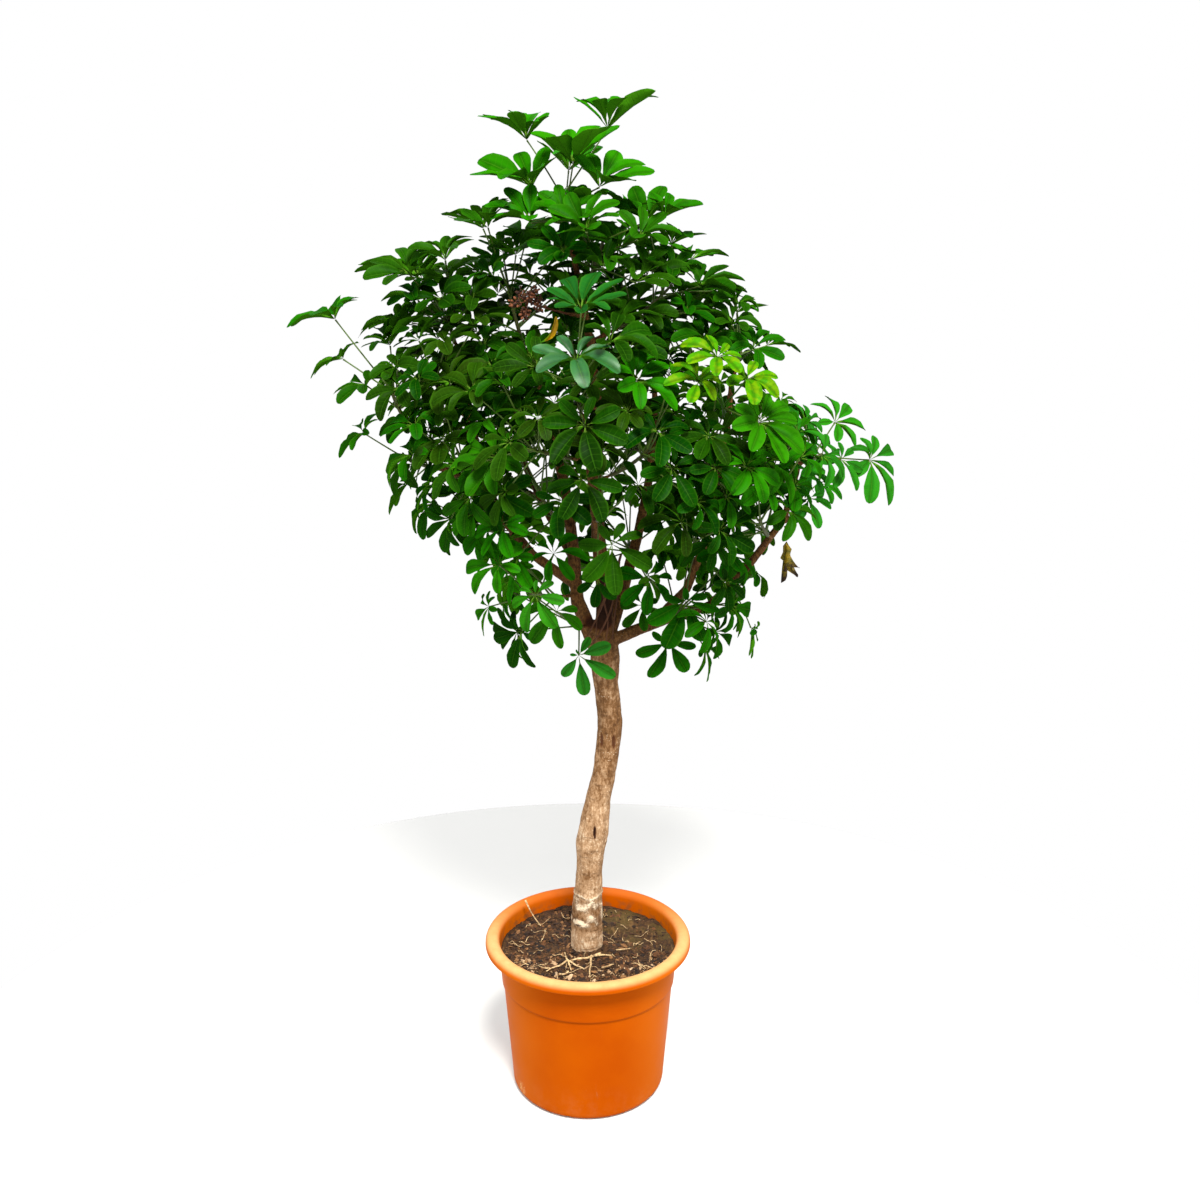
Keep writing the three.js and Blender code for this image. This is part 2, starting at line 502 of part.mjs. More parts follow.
function isClear(leaf, shoot) {
  const roomy = leafSolid(leaf, LEAF_ROOM);
  const { min, max } = roomy.boundingBox();
  const box = new THREE.Box3(point(min), point(max));
  const clear = grown.every((other) => {
    if (!box.intersectsBox(other.box) || (other.isStem && other.shoot === shoot)) return true;
    const shared = roomy.intersect(other.solid);
    const empty = shared.isEmpty();
    shared.delete();
    return empty;
  });
  roomy.delete();
  return clear;
}

// Whether all leaflets of a leaf end inside the crown's outline, an oval at every height.
function isInside(leaf) {
  const { spot, ribs } = spread(leaf);
  return ribs.every(({ angle, length }) => {
    const { x, y, z } = spot(angle, 1, length);
    const above = CROWN.findIndex(([height]) => height >= z);
    if (above < 1) return false;
    const [low, high] = [CROWN[above - 1], CROWN[above]];
    const left = THREE.MathUtils.mapLinear(z, low[0], high[0], low[1], high[1]);
    const right = THREE.MathUtils.mapLinear(z, low[0], high[0], low[2], high[2]);
    const half = (right - left) / 2;
    return ((x - left) / half - 1) ** 2 + (y / (half * CROWN_DEPTH)) ** 2 < 1;
  });
}

// A leaf turns its face to the light, out of the crown and away from its stalk. High leaves are cupped and
// low ones hang.
function leafAt(middle, root, reach, spin) {
  const stalkLine = middle.clone().sub(root).normalize();
  const outward = middle.clone().sub(CROWN_MIDDLE).normalize();
  const normal = LIGHT.clone().add(point([draw(-0.2, 0.2), draw(-0.2, 0.2), 0]))
    .addScaledVector(outward, FACE_OUTWARD).addScaledVector(stalkLine, FACE_ALONG).normalize();
  const lean = LEAST_LEAN - normal.dot(stalkLine);
  if (lean > 0) normal.addScaledVector(stalkLine, lean * 1.4).normalize();
  const height = THREE.MathUtils.clamp((middle.z - CROWN_LOW) / (CROWN_HIGH - CROWN_LOW), 0, 1);
  return {
    middle, root, normal, reach, spin,
    leaflets: reach > LARGE_LEAF ? 6 : 5,
    cup: THREE.MathUtils.degToRad(THREE.MathUtils.lerp(...CUP, height) + draw(-5, 5)),
    sag: THREE.MathUtils.lerp(...SAG, height ** 0.7) + draw(-0.06, 0.06),
  };
}

function keepLeaf(leaf, shoot) {
  const solid = leafSolid(leaf);
  shoot.leaves.push(solid);
  remember(solid, shoot);
}

// The stalk of a placed leaf joins its shoot where it comes nearest to a wanted length.
function stalkRoot(curve, middle, wanted) {
  let best = null;
  for (let share = WOODY_SHARE + 0.1; share < 0.97; share += 0.06) {
    const from = curve.getPointAt(share);
    const miss = Math.abs(from.distanceTo(middle) - wanted);
    if (!best || miss < best.miss) best = { from, miss };
  }
  return best.from;
}

function placeLeaf(shoot, [x, y, z, reach]) {
  for (let t = 0; t < TRIES; t += 1) {
    const shift = t * PLACE_SHIFT;
    const middle = new THREE.Vector3(x + draw(-shift, shift), y + draw(-2 * shift, 2 * shift),
      z + draw(-shift, shift));
    const loose = t / TRIES;
    const root = stalkRoot(shoot.curve, middle, PLACED_STALK + draw(-40, 60) * loose);
    const leaf = leafAt(middle, root, reach * (1 - 0.2 * loose), draw(-SPIN, SPIN) * loose);
    if (isClear(leaf, shoot)) {
      keepLeaf(leaf, shoot);
      return;
    }
  }
}

// The growing rule: leaves stand in a spiral up the shoot, on long spread stalks low down and on
// short steep ones at the tip.
function growLeaf(shoot, index) {
  const { curve, plan } = shoot;
  const share = plan.leaves > 1 ? index / (plan.leaves - 1) : 0.5;
  for (let t = 0; t < TRIES; t += 1) {
    const loose = t / TRIES;
    const at = THREE.MathUtils.clamp(
      THREE.MathUtils.lerp(0.5, 0.96, share) + draw(-0.1, 0.1) * loose * 2, 0.42, 0.97);
    const along = curve.getTangentAt(at);
    const root = curve.getPointAt(at);
    const out = root.clone().sub(CROWN_MIDDLE).projectOnPlane(along).normalize();
    const turn = THREE.MathUtils.degToRad(index * GOLDEN_ANGLE + draw(-200, 200) * loose);
    const around = out.applyAxisAngle(along, turn);
    const spread = THREE.MathUtils.degToRad(
      THREE.MathUtils.lerp(STALK_SPREAD[0], STALK_SPREAD[1], share) + draw(-25, 25) * loose);
    const length = THREE.MathUtils.lerp(STALK_LENGTH[0], STALK_LENGTH[1], share)
      * draw(0.9 - 0.2 * loose, 1.1 + 0.2 * loose);
    const middle = root.clone().addScaledVector(along, Math.cos(spread) * length)
      .addScaledVector(around, Math.sin(spread) * length);
    middle.z += 0.12 * length;
    const reach = draw(...LEAF_REACH) * (1 - 0.2 * loose);
    const leaf = leafAt(middle, root, reach, draw(-SPIN, SPIN) * loose);
    if (isInside(leaf) && isClear(leaf, shoot)) {
      keepLeaf(leaf, shoot);
      return;
    }
  }
}

const spray = driedSpray();
remember(spray);
const deadLeaf = leafSolid({
  middle: point(DEAD_LEAF.middle), root: point(DEAD_LEAF.root), reach: DEAD_LEAF.reach,
  normal: point(DEAD_LEAF.facing).normalize(),
  leaflets: 5, cup: THREE.MathUtils.degToRad(52), sag: 0.2, spin: 0,
});
remember(deadLeaf);

for (const shoot of shoots) {
  const highestFirst = [...shoot.plan.placed].sort((one, other) => other[2] - one[2]);
  for (const place of highestFirst) placeLeaf(shoot, place);
}
const mostLeaves = Math.max(...shoots.map((shoot) => shoot.plan.leaves));
for (let index = 0; index < mostLeaves; index += 1) {
  for (const shoot of shoots) {
    if (index < shoot.plan.leaves) growLeaf(shoot, index);
  }
}

// ---- the plant, piece by piece ------------------------------------------------------------------
addPiece('pot', pot(), potPlastic);
addPiece('soil', soil(), soilBrown);
addPiece('trunk', woodPieces.reduce((whole, piece) => whole.add(piece)), bark);
shoots.forEach((shoot, i) => {
  const whole = shoot.leaves.reduce((sum, leaf) => sum.add(leaf), shoot.stem);
  const green = shoot.plan.young ? youngGreen : leafGreens[i % leafGreens.length];
  addPiece(`shoot_${shoot.name}`, whole, green);
});
addPiece('dried_spray', spray, driedBrown);
addPiece('dead_leaf', deadLeaf, deadYellow);
addPiece('surface_roots', surfaceRoots(), rootPale);

export default scene;
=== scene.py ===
import json
from contextlib import contextmanager
from functools import partialmethod
from math import cos, dist, exp, hypot, pi, radians, sin, sqrt, tau

import bmesh
import bpy
import numpy as np
from mathutils import Matrix, Vector, noise

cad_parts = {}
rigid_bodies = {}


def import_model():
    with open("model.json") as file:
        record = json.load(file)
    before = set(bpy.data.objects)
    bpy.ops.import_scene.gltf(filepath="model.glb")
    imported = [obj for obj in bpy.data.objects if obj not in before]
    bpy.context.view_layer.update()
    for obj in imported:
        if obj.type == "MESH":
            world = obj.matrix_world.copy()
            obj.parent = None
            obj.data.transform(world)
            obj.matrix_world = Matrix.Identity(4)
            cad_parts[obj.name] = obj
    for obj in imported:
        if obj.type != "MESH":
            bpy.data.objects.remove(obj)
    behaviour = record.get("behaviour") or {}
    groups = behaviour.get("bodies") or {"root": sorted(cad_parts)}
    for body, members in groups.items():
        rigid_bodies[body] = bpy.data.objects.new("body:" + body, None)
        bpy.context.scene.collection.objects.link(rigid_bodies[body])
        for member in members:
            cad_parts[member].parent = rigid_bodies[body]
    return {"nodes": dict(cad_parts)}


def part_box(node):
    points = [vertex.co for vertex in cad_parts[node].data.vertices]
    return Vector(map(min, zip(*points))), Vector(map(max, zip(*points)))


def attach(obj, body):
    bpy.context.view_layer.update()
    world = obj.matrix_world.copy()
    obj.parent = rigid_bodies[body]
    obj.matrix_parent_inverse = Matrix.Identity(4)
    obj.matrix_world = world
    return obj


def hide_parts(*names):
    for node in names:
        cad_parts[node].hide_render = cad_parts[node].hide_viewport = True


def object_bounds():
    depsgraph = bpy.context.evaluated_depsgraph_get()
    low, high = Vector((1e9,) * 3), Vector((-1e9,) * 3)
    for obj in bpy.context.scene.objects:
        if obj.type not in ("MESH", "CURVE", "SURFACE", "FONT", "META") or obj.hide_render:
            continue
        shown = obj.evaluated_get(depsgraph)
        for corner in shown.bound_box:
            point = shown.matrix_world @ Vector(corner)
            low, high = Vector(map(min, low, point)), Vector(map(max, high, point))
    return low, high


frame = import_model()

cad_low, cad_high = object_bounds()

# ---- camera, floor and light -----------------
# A camera 1.3 m up that looks slightly down on the plant, which stands on a plain pale floor under
# four large soft lamps and in an even white surround.
def placed(name, data):
    made = bpy.data.objects.new(name, data)
    bpy.context.scene.collection.objects.link(made)
    return made


def built(name, spots, edges=(), faces=()):
    """A new object in the scene with a mesh of its own."""
    mesh = bpy.data.meshes.new(name)
    mesh.from_pydata(spots, edges, faces)
    return placed(name, mesh)


camera_data = bpy.data.cameras.new("camera")
camera_data.lens = 36
camera_data.sensor_width = 36
camera = placed("camera", camera_data)
camera.location = (0.0206, -1.867, 1.303)
camera.rotation_euler = (radians(90 - 13.4), 0, 0)
bpy.context.scene.camera = camera
bpy.context.scene.view_settings.view_transform = "Standard"


def soft_lamp(name, place, target, width, power, colour):
    lamp = bpy.data.lights.new(name, "AREA")
    lamp.shape = "DISK"
    lamp.size = width
    lamp.energy = power
    lamp.color = colour
    holder = placed(name, lamp)
    holder.location = place
    holder.rotation_euler = (Vector(target) - Vector(place)).to_track_quat("-Z", "Y").to_euler()


CROWN_CENTRE = (0.02, 0, 1.05)
soft_lamp("key_lamp", (0.35, -2.0, 3.25), CROWN_CENTRE, 1.0, 290, (1, 0.98, 0.94))
soft_lamp("left_lamp", (-2.2, -1.6, 1.2), (0, 0, 0.6), 2.0, 36, (0.96, 0.98, 1))
soft_lamp("right_lamp", (2.3, -1.4, 1.0), (0.1, 0, 0.5), 1.6, 34, (1, 0.98, 0.95))
soft_lamp("back_lamp", (-0.8, 2.2, 2.6), CROWN_CENTRE, 1.4, 45, (1, 1, 1))

surround = bpy.data.worlds.new("surround")
surround.use_nodes = True
surround.node_tree.nodes["Background"].inputs["Color"].default_value = (1, 1, 1, 1)
bpy.context.scene.world = surround

FLOOR_RADIUS = 1.2
FLOOR_SIDES = 96
rim_angles = [2 * pi * i / FLOOR_SIDES for i in range(FLOOR_SIDES)]
floor = built("floor", [(FLOOR_RADIUS * cos(a), FLOOR_RADIUS * sin(a), 0)
                        for a in rim_angles], faces=[range(FLOOR_SIDES)])
floor_finish = bpy.data.materials.new("pale_floor")
floor_finish.use_nodes = True
floor_sockets = floor_finish.node_tree.nodes["Principled BSDF"].inputs
floor_sockets["Base Color"].default_value = (0.56, 0.56, 0.55, 1)
floor_sockets["Roughness"].default_value = 0.8
floor.data.materials.append(floor_finish)


# ---- pot -------------------------------------
# A round nursery container, injection moulded in orange polypropylene about 3 mm thick: a tapered
# wall with a step, a rolled rim, a rounded foot, drain holes and small arches through the foot.
pot_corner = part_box("pot")[1]
POT_HEIGHT, RIM_RADIUS = pot_corner.z, pot_corner.x
RIM_CREST_RADIUS = RIM_RADIUS - 0.011
RIM_SKIRT = POT_HEIGHT - 0.016
RIM_SHOULDER = POT_HEIGHT - 0.012
WALL = 0.003
WALL_RADIUS_TOP = 0.153
WALL_RADIUS_FOOT = 0.131
FOOT_ROUND = 0.012
LEDGE_HEIGHT = 0.192
LEDGE = 0.0025
POT_SIDES = 144
DRAIN_HOLES = 6
DRAIN_HOLE_RADIUS = 0.007
DRAIN_HOLE_CIRCLE = 0.078
FOOT_ARCHES = 4
FOOT_ARCH_RADIUS = 0.006
FIRST_ARCH = radians(-104)


class Flow:
    """A socket in a node tree. Arithmetic on it adds Math nodes."""

    def __init__(self, graph, socket):
        self.graph, self.socket = graph, socket

    def maths(self, operation, *others, clamp=False):
        values = dict(enumerate((self, *others)))
        return self.graph.add("ShaderNodeMath", values, operation=operation, use_clamp=clamp)

    __add__ = __radd__ = partialmethod(maths, "ADD")
    __sub__ = partialmethod(maths, "SUBTRACT")
    __mul__ = __rmul__ = partialmethod(maths, "MULTIPLY")
    __truediv__ = partialmethod(maths, "DIVIDE")
    __pow__ = partialmethod(maths, "POWER")
    __abs__ = partialmethod(maths, "ABSOLUTE")

    def __rsub__(self, other):
        return (self * -1) + other

    def step(self, low, high):
        """0 up to low, 1 from high on, and smooth between; low may be above high."""
        return self.graph.add("ShaderNodeMapRange", {0: self, 1: low, 2: high},
                              interpolation_type="SMOOTHSTEP")

    def other(self, number):
        """Another output of the same node."""
        return Flow(self.graph, self.socket.node.outputs[number])


class Graph:
    """A node tree that grows by one method."""

    def __init__(self, tree):
        self.tree = tree

    def feed(self, socket, value):
        if isinstance(value, Flow):
            self.tree.links.new(value.socket, socket)
        elif hasattr(socket.default_value, "__len__") and not isinstance(value, str):
            value = [value] * 3 if isinstance(value, (int, float)) else list(value)
            socket.default_value = (value + [1])[:len(socket.default_value)]
        else:
            socket.default_value = value

    def add(self, kind, sockets=(), out=0, **settings):
        made = self.tree.nodes.new(kind)
        for name, value in settings.items():
            setattr(made, name, value)
        for key, value in dict(sockets).items():
            self.feed(made.inputs[key], value)
        return Flow(self, made.outputs[out])


def paint(red, green, blue):
    """A colour as it is seen, 0 to 255, as the light that it reflects."""
    return tuple((v / 255 / 12.92 if v <= 10 else ((v / 255 + 0.055) / 1.055) ** 2.4)
                 for v in (red, green, blue))


class Finish(Graph):
    """A procedural material whose patterns lie in the piece's own space."""

    def __init__(self, name, gloss=0.5):
        self.material = bpy.data.materials.new(name)
        self.material.use_nodes = True
        super().__init__(self.material.node_tree)
        self.shader = self.tree.nodes["Principled BSDF"]
        self.shader.inputs["Specular IOR Level"].default_value = gloss
        self.place = self.add("ShaderNodeTexCoord", out="Object")
        self.x = self.add("ShaderNodeSeparateXYZ", {0: self.place})
        self.y, self.z = self.x.other(1), self.x.other(2)

    def stretched(self, scale):
        return self.add("ShaderNodeMapping", {"Vector": self.place, "Scale": scale})

    def noise(self, scale, detail=3, roughness=0.55, stretch=(1, 1, 1)):
        return self.add("ShaderNodeTexNoise", {
            "Vector": self.stretched(stretch), "Scale": scale, "Detail": detail,
            "Roughness": roughness})

    def attribute(self, name):
        return self.add("ShaderNodeAttribute", out="Fac", attribute_name=name)

    def ramp(self, level, *stops):
        """Colours that follow one another as the level rises."""
        shade = self.add("ShaderNodeValToRGB", {"Fac": level})
        ramp = shade.socket.node.color_ramp.elements
        while len(ramp) < len(stops):
            ramp.new(0.5)
        for element, (place, colour) in zip(ramp, stops):
            element.position = place
            element.color = (*colour, 1)
        return shade

    def coats(self, shade, *coats):
        """A shade under one coat after another, each a share and a colour."""
        for share, colour in coats:
            shade = self.add("ShaderNodeMix", {0: share, 6: shade, 7: colour}, 2,
                             data_type="RGBA", clamp_factor=True)
        return shade

    def set(self, colour, roughness, height, depth):
        bump = self.add("ShaderNodeBump", {"Height": height, "Distance": depth, "Strength": 1.0})
        for name, value in (("Base Color", colour), ("Roughness", roughness), ("Normal", bump)):
            self.feed(self.shader.inputs[name], value)
        return self.material


def arc(middle, radii, first, last, points):
    """Points of an oval arc in radius and height; angles in degrees, 0 pointing outwards."""
    angles = np.radians(np.linspace(first, last, points))
    return [(middle[0] + radii[0] * cos(a), middle[1] + radii[1] * sin(a))
            for a in angles]


def turned(name, profile, sides):
    """A closed mesh turned from points of radius, height and, where its axis shifts, an offset."""
    spots, faces, rings = [], [], []
    for radius, height, shift in [(*point, 0)[:3] for point in profile]:
        first, turns = len(spots), range(sides if radius else 1)
        rings.append([first + i % len(turns) for i in range(sides)])
        spots += [(shift + radius * cos(2 * pi * i / sides),
                   radius * sin(2 * pi * i / sides), height) for i in turns]
    for lower, upper in zip(rings, rings[1:]):
        for i in range(sides):
            j = (i + 1) % sides
            faces.append(list(dict.fromkeys([lower[i], lower[j], upper[j], upper[i]])))
    made = built(name, spots, faces=faces)
    made.data.shade_smooth()
    return made


@contextmanager
def reshaping(mesh):
    """Opens a mesh so that it can be changed, and writes it back."""
    builder = bmesh.new()
    builder.from_mesh(mesh)
    yield builder
    builder.to_mesh(mesh)
    builder.free()


def keep_result(piece):
    """Turns a piece with its modifiers into a plain mesh."""
    depsgraph = bpy.context.evaluated_depsgraph_get()
    result = bpy.data.meshes.new_from_object(
        piece.evaluated_get(depsgraph), preserve_all_data_layers=True, depsgraph=depsgraph)
    piece.modifiers.clear()
    piece.data = result
    return piece


def up_the_wall(height):
    """0 where the foot's rounding ends and 1 at the rim's skirt."""
    return (height - FOOT_ROUND) / (RIM_SKIRT - FOOT_ROUND)


def wall_radius(height):
    return WALL_RADIUS_FOOT + up_the_wall(height) * (WALL_RADIUS_TOP - LEDGE - WALL_RADIUS_FOOT)


def inner_radius(height):
    return WALL_RADIUS_FOOT - WALL + up_the_wall(height) * (WALL_RADIUS_TOP - WALL_RADIUS_FOOT)


UNDER_RIM = POT_HEIGHT - 2 * WALL
ledge_foot = wall_radius(LEDGE_HEIGHT)
FOOT_EDGE = WALL_RADIUS_FOOT - FOOT_ROUND
pot_profile = [
    (0, 0), (0.06, 0.0002), (0.1, 0), (FOOT_EDGE - 0.006, 0),
    *arc((FOOT_EDGE, FOOT_ROUND), (FOOT_ROUND, FOOT_ROUND), -90, 0, 9),
    *((wall_radius(h), h) for h in (0.03, 0.075, 0.12, 0.16, 0.186, 0.1905)),
    *arc((ledge_foot, LEDGE_HEIGHT + 0.0016), (LEDGE, 0.0016), -90, 0, 5),
    (ledge_foot + LEDGE + 0.0005, 0.2), (WALL_RADIUS_TOP - 0.001, 0.24),
    (WALL_RADIUS_TOP, UNDER_RIM - 0.004), (WALL_RADIUS_TOP + 0.001, UNDER_RIM),
    (RIM_RADIUS - WALL - 0.002, UNDER_RIM), (RIM_RADIUS - WALL, UNDER_RIM - 0.003),
    (RIM_RADIUS - WALL, RIM_SKIRT + 0.0015),
    *arc((RIM_RADIUS - WALL / 2, RIM_SKIRT + 0.0015), (WALL / 2, 0.0015), 180, 360, 7),
    *arc((RIM_CREST_RADIUS, RIM_SHOULDER), (0.011, 0.012), 0, 90, 9),
    *arc((RIM_CREST_RADIUS, RIM_SHOULDER), (0.0134, 0.012), 100, 172, 7),
    *((inner_radius(h), h) for h in (0.258, 0.25, 0.2, 0.1, 0.02)),
    (FOOT_EDGE, WALL), (0.1, WALL), (0, WALL)]
pot = turned("plastic_pot", pot_profile, POT_SIDES)

cutter = built("holes", [])
# For the drain holes and then the foot arches: number, first turn, radius, length and reach.
with reshaping(cutter.data) as builder:
    for count, first, radius, length, reach in (
            (DRAIN_HOLES, pi / DRAIN_HOLES, DRAIN_HOLE_RADIUS, 0.02, DRAIN_HOLE_CIRCLE),
            (FOOT_ARCHES, FIRST_ARCH, FOOT_ARCH_RADIUS, 0.036, WALL_RADIUS_FOOT - 0.012)):
        for i in range(count):
            drill = bmesh.ops.create_cone(builder, cap_ends=True, segments=24, depth=length,
                                          radius1=radius, radius2=radius)["verts"]
            turn = first + 2 * pi * i / count
            outwards = Vector((cos(turn), sin(turn), 0))
            if radius == FOOT_ARCH_RADIUS:
                lie = Vector((0, 0, 1)).rotation_difference(outwards).to_matrix()
                bmesh.ops.rotate(builder, verts=drill, matrix=lie)
            bmesh.ops.translate(builder, verts=drill, vec=outwards * reach)
holes = pot.modifiers.new("holes", "BOOLEAN")
holes.operation = "DIFFERENCE"
holes.solver = "EXACT"
holes.object = cutter
keep_result(pot)
bpy.data.objects.remove(cutter)

plastic = Finish("orange_plastic", 0.01)
PLASTIC_BLEACHED_AND_LIT = paint(184, 146, 96)
cloudy = plastic.noise(9, 4).step(0.35, 0.7)
grain = plastic.noise(420, 2)
crest = plastic.z.step(POT_HEIGHT - 0.011, POT_HEIGHT - 0.001)
# The rim's crest is paler: partly rubbed wear, and partly a painted highlight, which is why it fades
# out towards the back.
worn_and_lit_crest = (plastic.noise(55, 5, 0.7) * 0.6 + 0.5) * crest * (0.1 + 0.9 * plastic.y.step(0.13, -0.05))
# A dark band at the wall's step: painted shade under the step's small overhang.
step_shade = abs(plastic.z - LEDGE_HEIGHT - 0.001).step(0.0026, 0.001)
scratches = plastic.noise(26, 6, 0.75, (1, 1, 0.22)).step(0.66, 0.72)
low_dust = plastic.z.step(0.075, 0.0) * plastic.noise(34, 5, 0.7).step(0.42, 0.7)
from_scuff = (plastic.x + 0.112) ** 2 + (plastic.z - 0.019) ** 2 + (plastic.y + 0.069) ** 2
scuff = from_scuff.step(0.00022, 0.00004) * plastic.noise(240, 3, 0.7).step(0.46, 0.62)
from_axis = (plastic.x ** 2 + plastic.y ** 2).maths("SQRT")
inside = (from_axis - inner_radius(plastic.z)).step(0.0007, 0.0003)
soiled = inside * plastic.noise(60, 4).step(0.42, 0.62) * plastic.z.step(0.27, 0.25)
shade = plastic.coats(
    paint(149, 64, 0), (cloudy * 0.6 + grain * 0.1, paint(138, 53, 0)),
    # The pot's left and right flanks are painted yellower and lighter: a painted sheen where the wall
    # turns away from the front.
    (abs(plastic.x).step(0.05, 0.14), paint(160, 76, 4)), (worn_and_lit_crest, PLASTIC_BLEACHED_AND_LIT),
    (step_shade * 0.4, paint(92, 34, 4)), (scratches * 0.12 + low_dust * 0.1, paint(160, 126, 90)),
    (scuff * 0.8, PLASTIC_BLEACHED_AND_LIT), (soiled * 0.55, paint(88, 58, 34)))
pot.data.materials.clear()
pot.data.materials.append(plastic.set(
    shade, 0.36 + 0.14 * cloudy + 0.25 * low_dust, grain * 0.5 + scratches, 0.0002))
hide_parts("pot")
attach(pot, "root")


# ---- soil ------------------------------------
# Coarse brown potting compost that fills the pot to 3 cm under its rim, a little raised round the
# trunk, with crumbs, bark chips and a few pale bits on top. It was poured in and has settled.
SOIL_HEIGHT = 0.247
SOIL_MOUND = 0.004
SOIL_GAP = 0.0004
TRUNK_FOOT = (-0.002, 0.15)
TRUNK_FOOT_RADIUS = 0.0291
SOIL_RINGS = 44
SOIL_SIDES = 200
SOIL_EDGE = inner_radius(SOIL_HEIGHT) - SOIL_GAP

soil_profile = [(radius, height, TRUNK_FOOT[0]) for radius, height in (
    (0, TRUNK_FOOT[1] - 0.0004), (TRUNK_FOOT_RADIUS, TRUNK_FOOT[1] - 0.0004),
    (TRUNK_FOOT_RADIUS, 0.24))]
for ring in range(SOIL_RINGS + 1):
    share = ring / SOIL_RINGS
    radius = TRUNK_FOOT_RADIUS + share * (SOIL_EDGE - TRUNK_FOOT_RADIUS)
    mound = SOIL_MOUND * (1 - share) ** 2 + 0.001 * (1 - share)
    soil_profile.append((radius, SOIL_HEIGHT + mound, TRUNK_FOOT[0] * (1 - share)))
soil_profile += [(inner_radius(h) - SOIL_GAP, h) for h in (0.235, 0.15, 0.03, 0.014)]
soil_profile += [(FOOT_EDGE - 0.001, WALL + 0.0003), (0, WALL + 0.0003)]
soil = turned("potting_soil", soil_profile[::-1], SOIL_SIDES)
for vertex in soil.data.vertices:
    place = vertex.co
    if place.z > SOIL_HEIGHT - 0.003:
        lumps = noise.fractal(place * 60, 0.8, 2.1, 4) * 0.0022
        crumbs = noise.fractal(place * 260 + Vector((7, 3, 1)), 0.7, 2.0, 3) * 0.0011
        clods = max(0.0, noise.noise(place * 38 + Vector((2, 9, 4))) - 0.1) * 0.007
        vertex.co.z += min(lumps + crumbs + clods, 0.0065) - 0.001

compost = Finish("potting_compost", 0.2)
EARTH = (paint(19, 10, 4), paint(44, 27, 12), paint(74, 50, 24), paint(108, 80, 46))
speck = compost.noise(210, 5, 0.75)
patch = compost.noise(24, 4)
moss = compost.noise(16, 4, 0.6).step(0.4, 0.6) * compost.x.step(-0.01, 0.07)
moss = moss * compost.y.step(-0.05, 0.04)
fibres = compost.noise(150, 2, 0.5, (1, 0.12, 1)).step(0.6, 0.68)
shade = compost.coats(
    compost.ramp(speck * 0.75 + patch * 0.25, *zip((0.3, 0.48, 0.62, 0.74), EARTH)),
    (moss * 0.5, paint(80, 66, 26)), (fibres * 0.4, EARTH[3]))
soil.data.materials.append(compost.set(shade, 0.92, speck + patch * 0.5, 0.0018))
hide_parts("soil")
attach(soil, "root")


# Loose crumbs, bark chips and husks that lie on the compost, scattered by a rule.
chips = bpy.data.collections.new("chips")
bpy.context.scene.collection.children.link(chips)
for i, flatness in enumerate((0.8, 0.3, 0.2, 0.6, 0.16)):
    draw = np.random.default_rng(40 + i)
    chip = bpy.data.objects.new(f"chip_{i}", bpy.data.meshes.new("chip"))
    chips.objects.link(chip)
    with reshaping(chip.data) as builder:
        bmesh.ops.create_icosphere(builder, subdivisions=1, radius=0.5)
        for vertex in builder.verts:
            vertex.co *= draw.uniform(0.7, 1.15)
            vertex.co.z *= flatness
            vertex.co.x *= 2.0 if flatness < 0.5 else 1.1


def new_tree(name, inputs):
    """An empty geometry tree with a geometry input and output, and named inputs."""
    tree = bpy.data.node_groups.new(name, "GeometryNodeTree")
    tree.interface.new_socket("Geometry", in_out="OUTPUT", socket_type="NodeSocketGeometry")
    for label, kind in {"Geometry": "Geometry", **inputs}.items():
        tree.interface.new_socket(label, in_out="INPUT", socket_type=f"NodeSocket{kind}")
    graph = Graph(tree)
    given = tree.nodes.new("NodeGroupInput")
    return graph, {socket.name: Flow(graph, socket) for socket in given.outputs if socket.name}


def close_tree(graph, result):
    ending = graph.tree.nodes.new("NodeGroupOutput")
    graph.tree.links.new(result.socket, ending.inputs[0])
    return graph.tree


def run_rule(piece, tree, values):
    """Runs a geometry tree on a piece, with its inputs set by identifier, and keeps the result."""
    rule = piece.modifiers.new("rule", "NODES")
    rule.node_group = tree
    for item in tree.interface.items_tree:
        if item.item_type == "SOCKET" and item.in_out == "INPUT" and item.name in values:
            rule[item.identifier] = values[item.name]
    return keep_result(piece)


graph, given = new_tree("scatter_crumbs", {
    "Chips": "Collection", "Density": "Float", "Smallest": "Float", "Largest": "Float",
    "Finish": "Material"})
upward = graph.add("ShaderNodeSeparateXYZ", {0: graph.add("GeometryNodeInputNormal")}, out=2)
spot_x = graph.add("ShaderNodeSeparateXYZ", {0: graph.add("GeometryNodeInputPosition")})
spot_y = spot_x.other(1)
mossy = spot_x.step(-0.01, 0.06) * spot_y.step(-0.04, 0.04)
scatter = graph.add("GeometryNodeDistributePointsOnFaces", {
    "Mesh": given["Geometry"], "Selection": upward.maths("GREATER_THAN", 0.5),
    "Density": given["Density"] * (1 - 0.8 * mossy), "Seed": 11})
picked = graph.add("GeometryNodeCollectionInfo", {
    "Collection": given["Chips"], "Separate Children": True})
spin = graph.add("FunctionNodeRandomValue", {
    0: (-0.5, -0.5, 0), 1: (0.5, 0.5, 6.28), "Seed": 3}, data_type="FLOAT_VECTOR")
chance, tint = (graph.add("FunctionNodeRandomValue", {2: 0.0, 3: 1.0, "Seed": seed}, out=1)
                for seed in (5, 8))
size = given["Smallest"] + (given["Largest"] - given["Smallest"]) * chance ** 5
laid = graph.add("GeometryNodeInstanceOnPoints", {
    "Points": scatter, "Instance": picked, "Pick Instance": True,
    "Rotation": graph.add("FunctionNodeEulerToRotation", {0: spin}),
    "Scale": graph.add("ShaderNodeCombineXYZ", {0: size, 1: size, 2: size})})
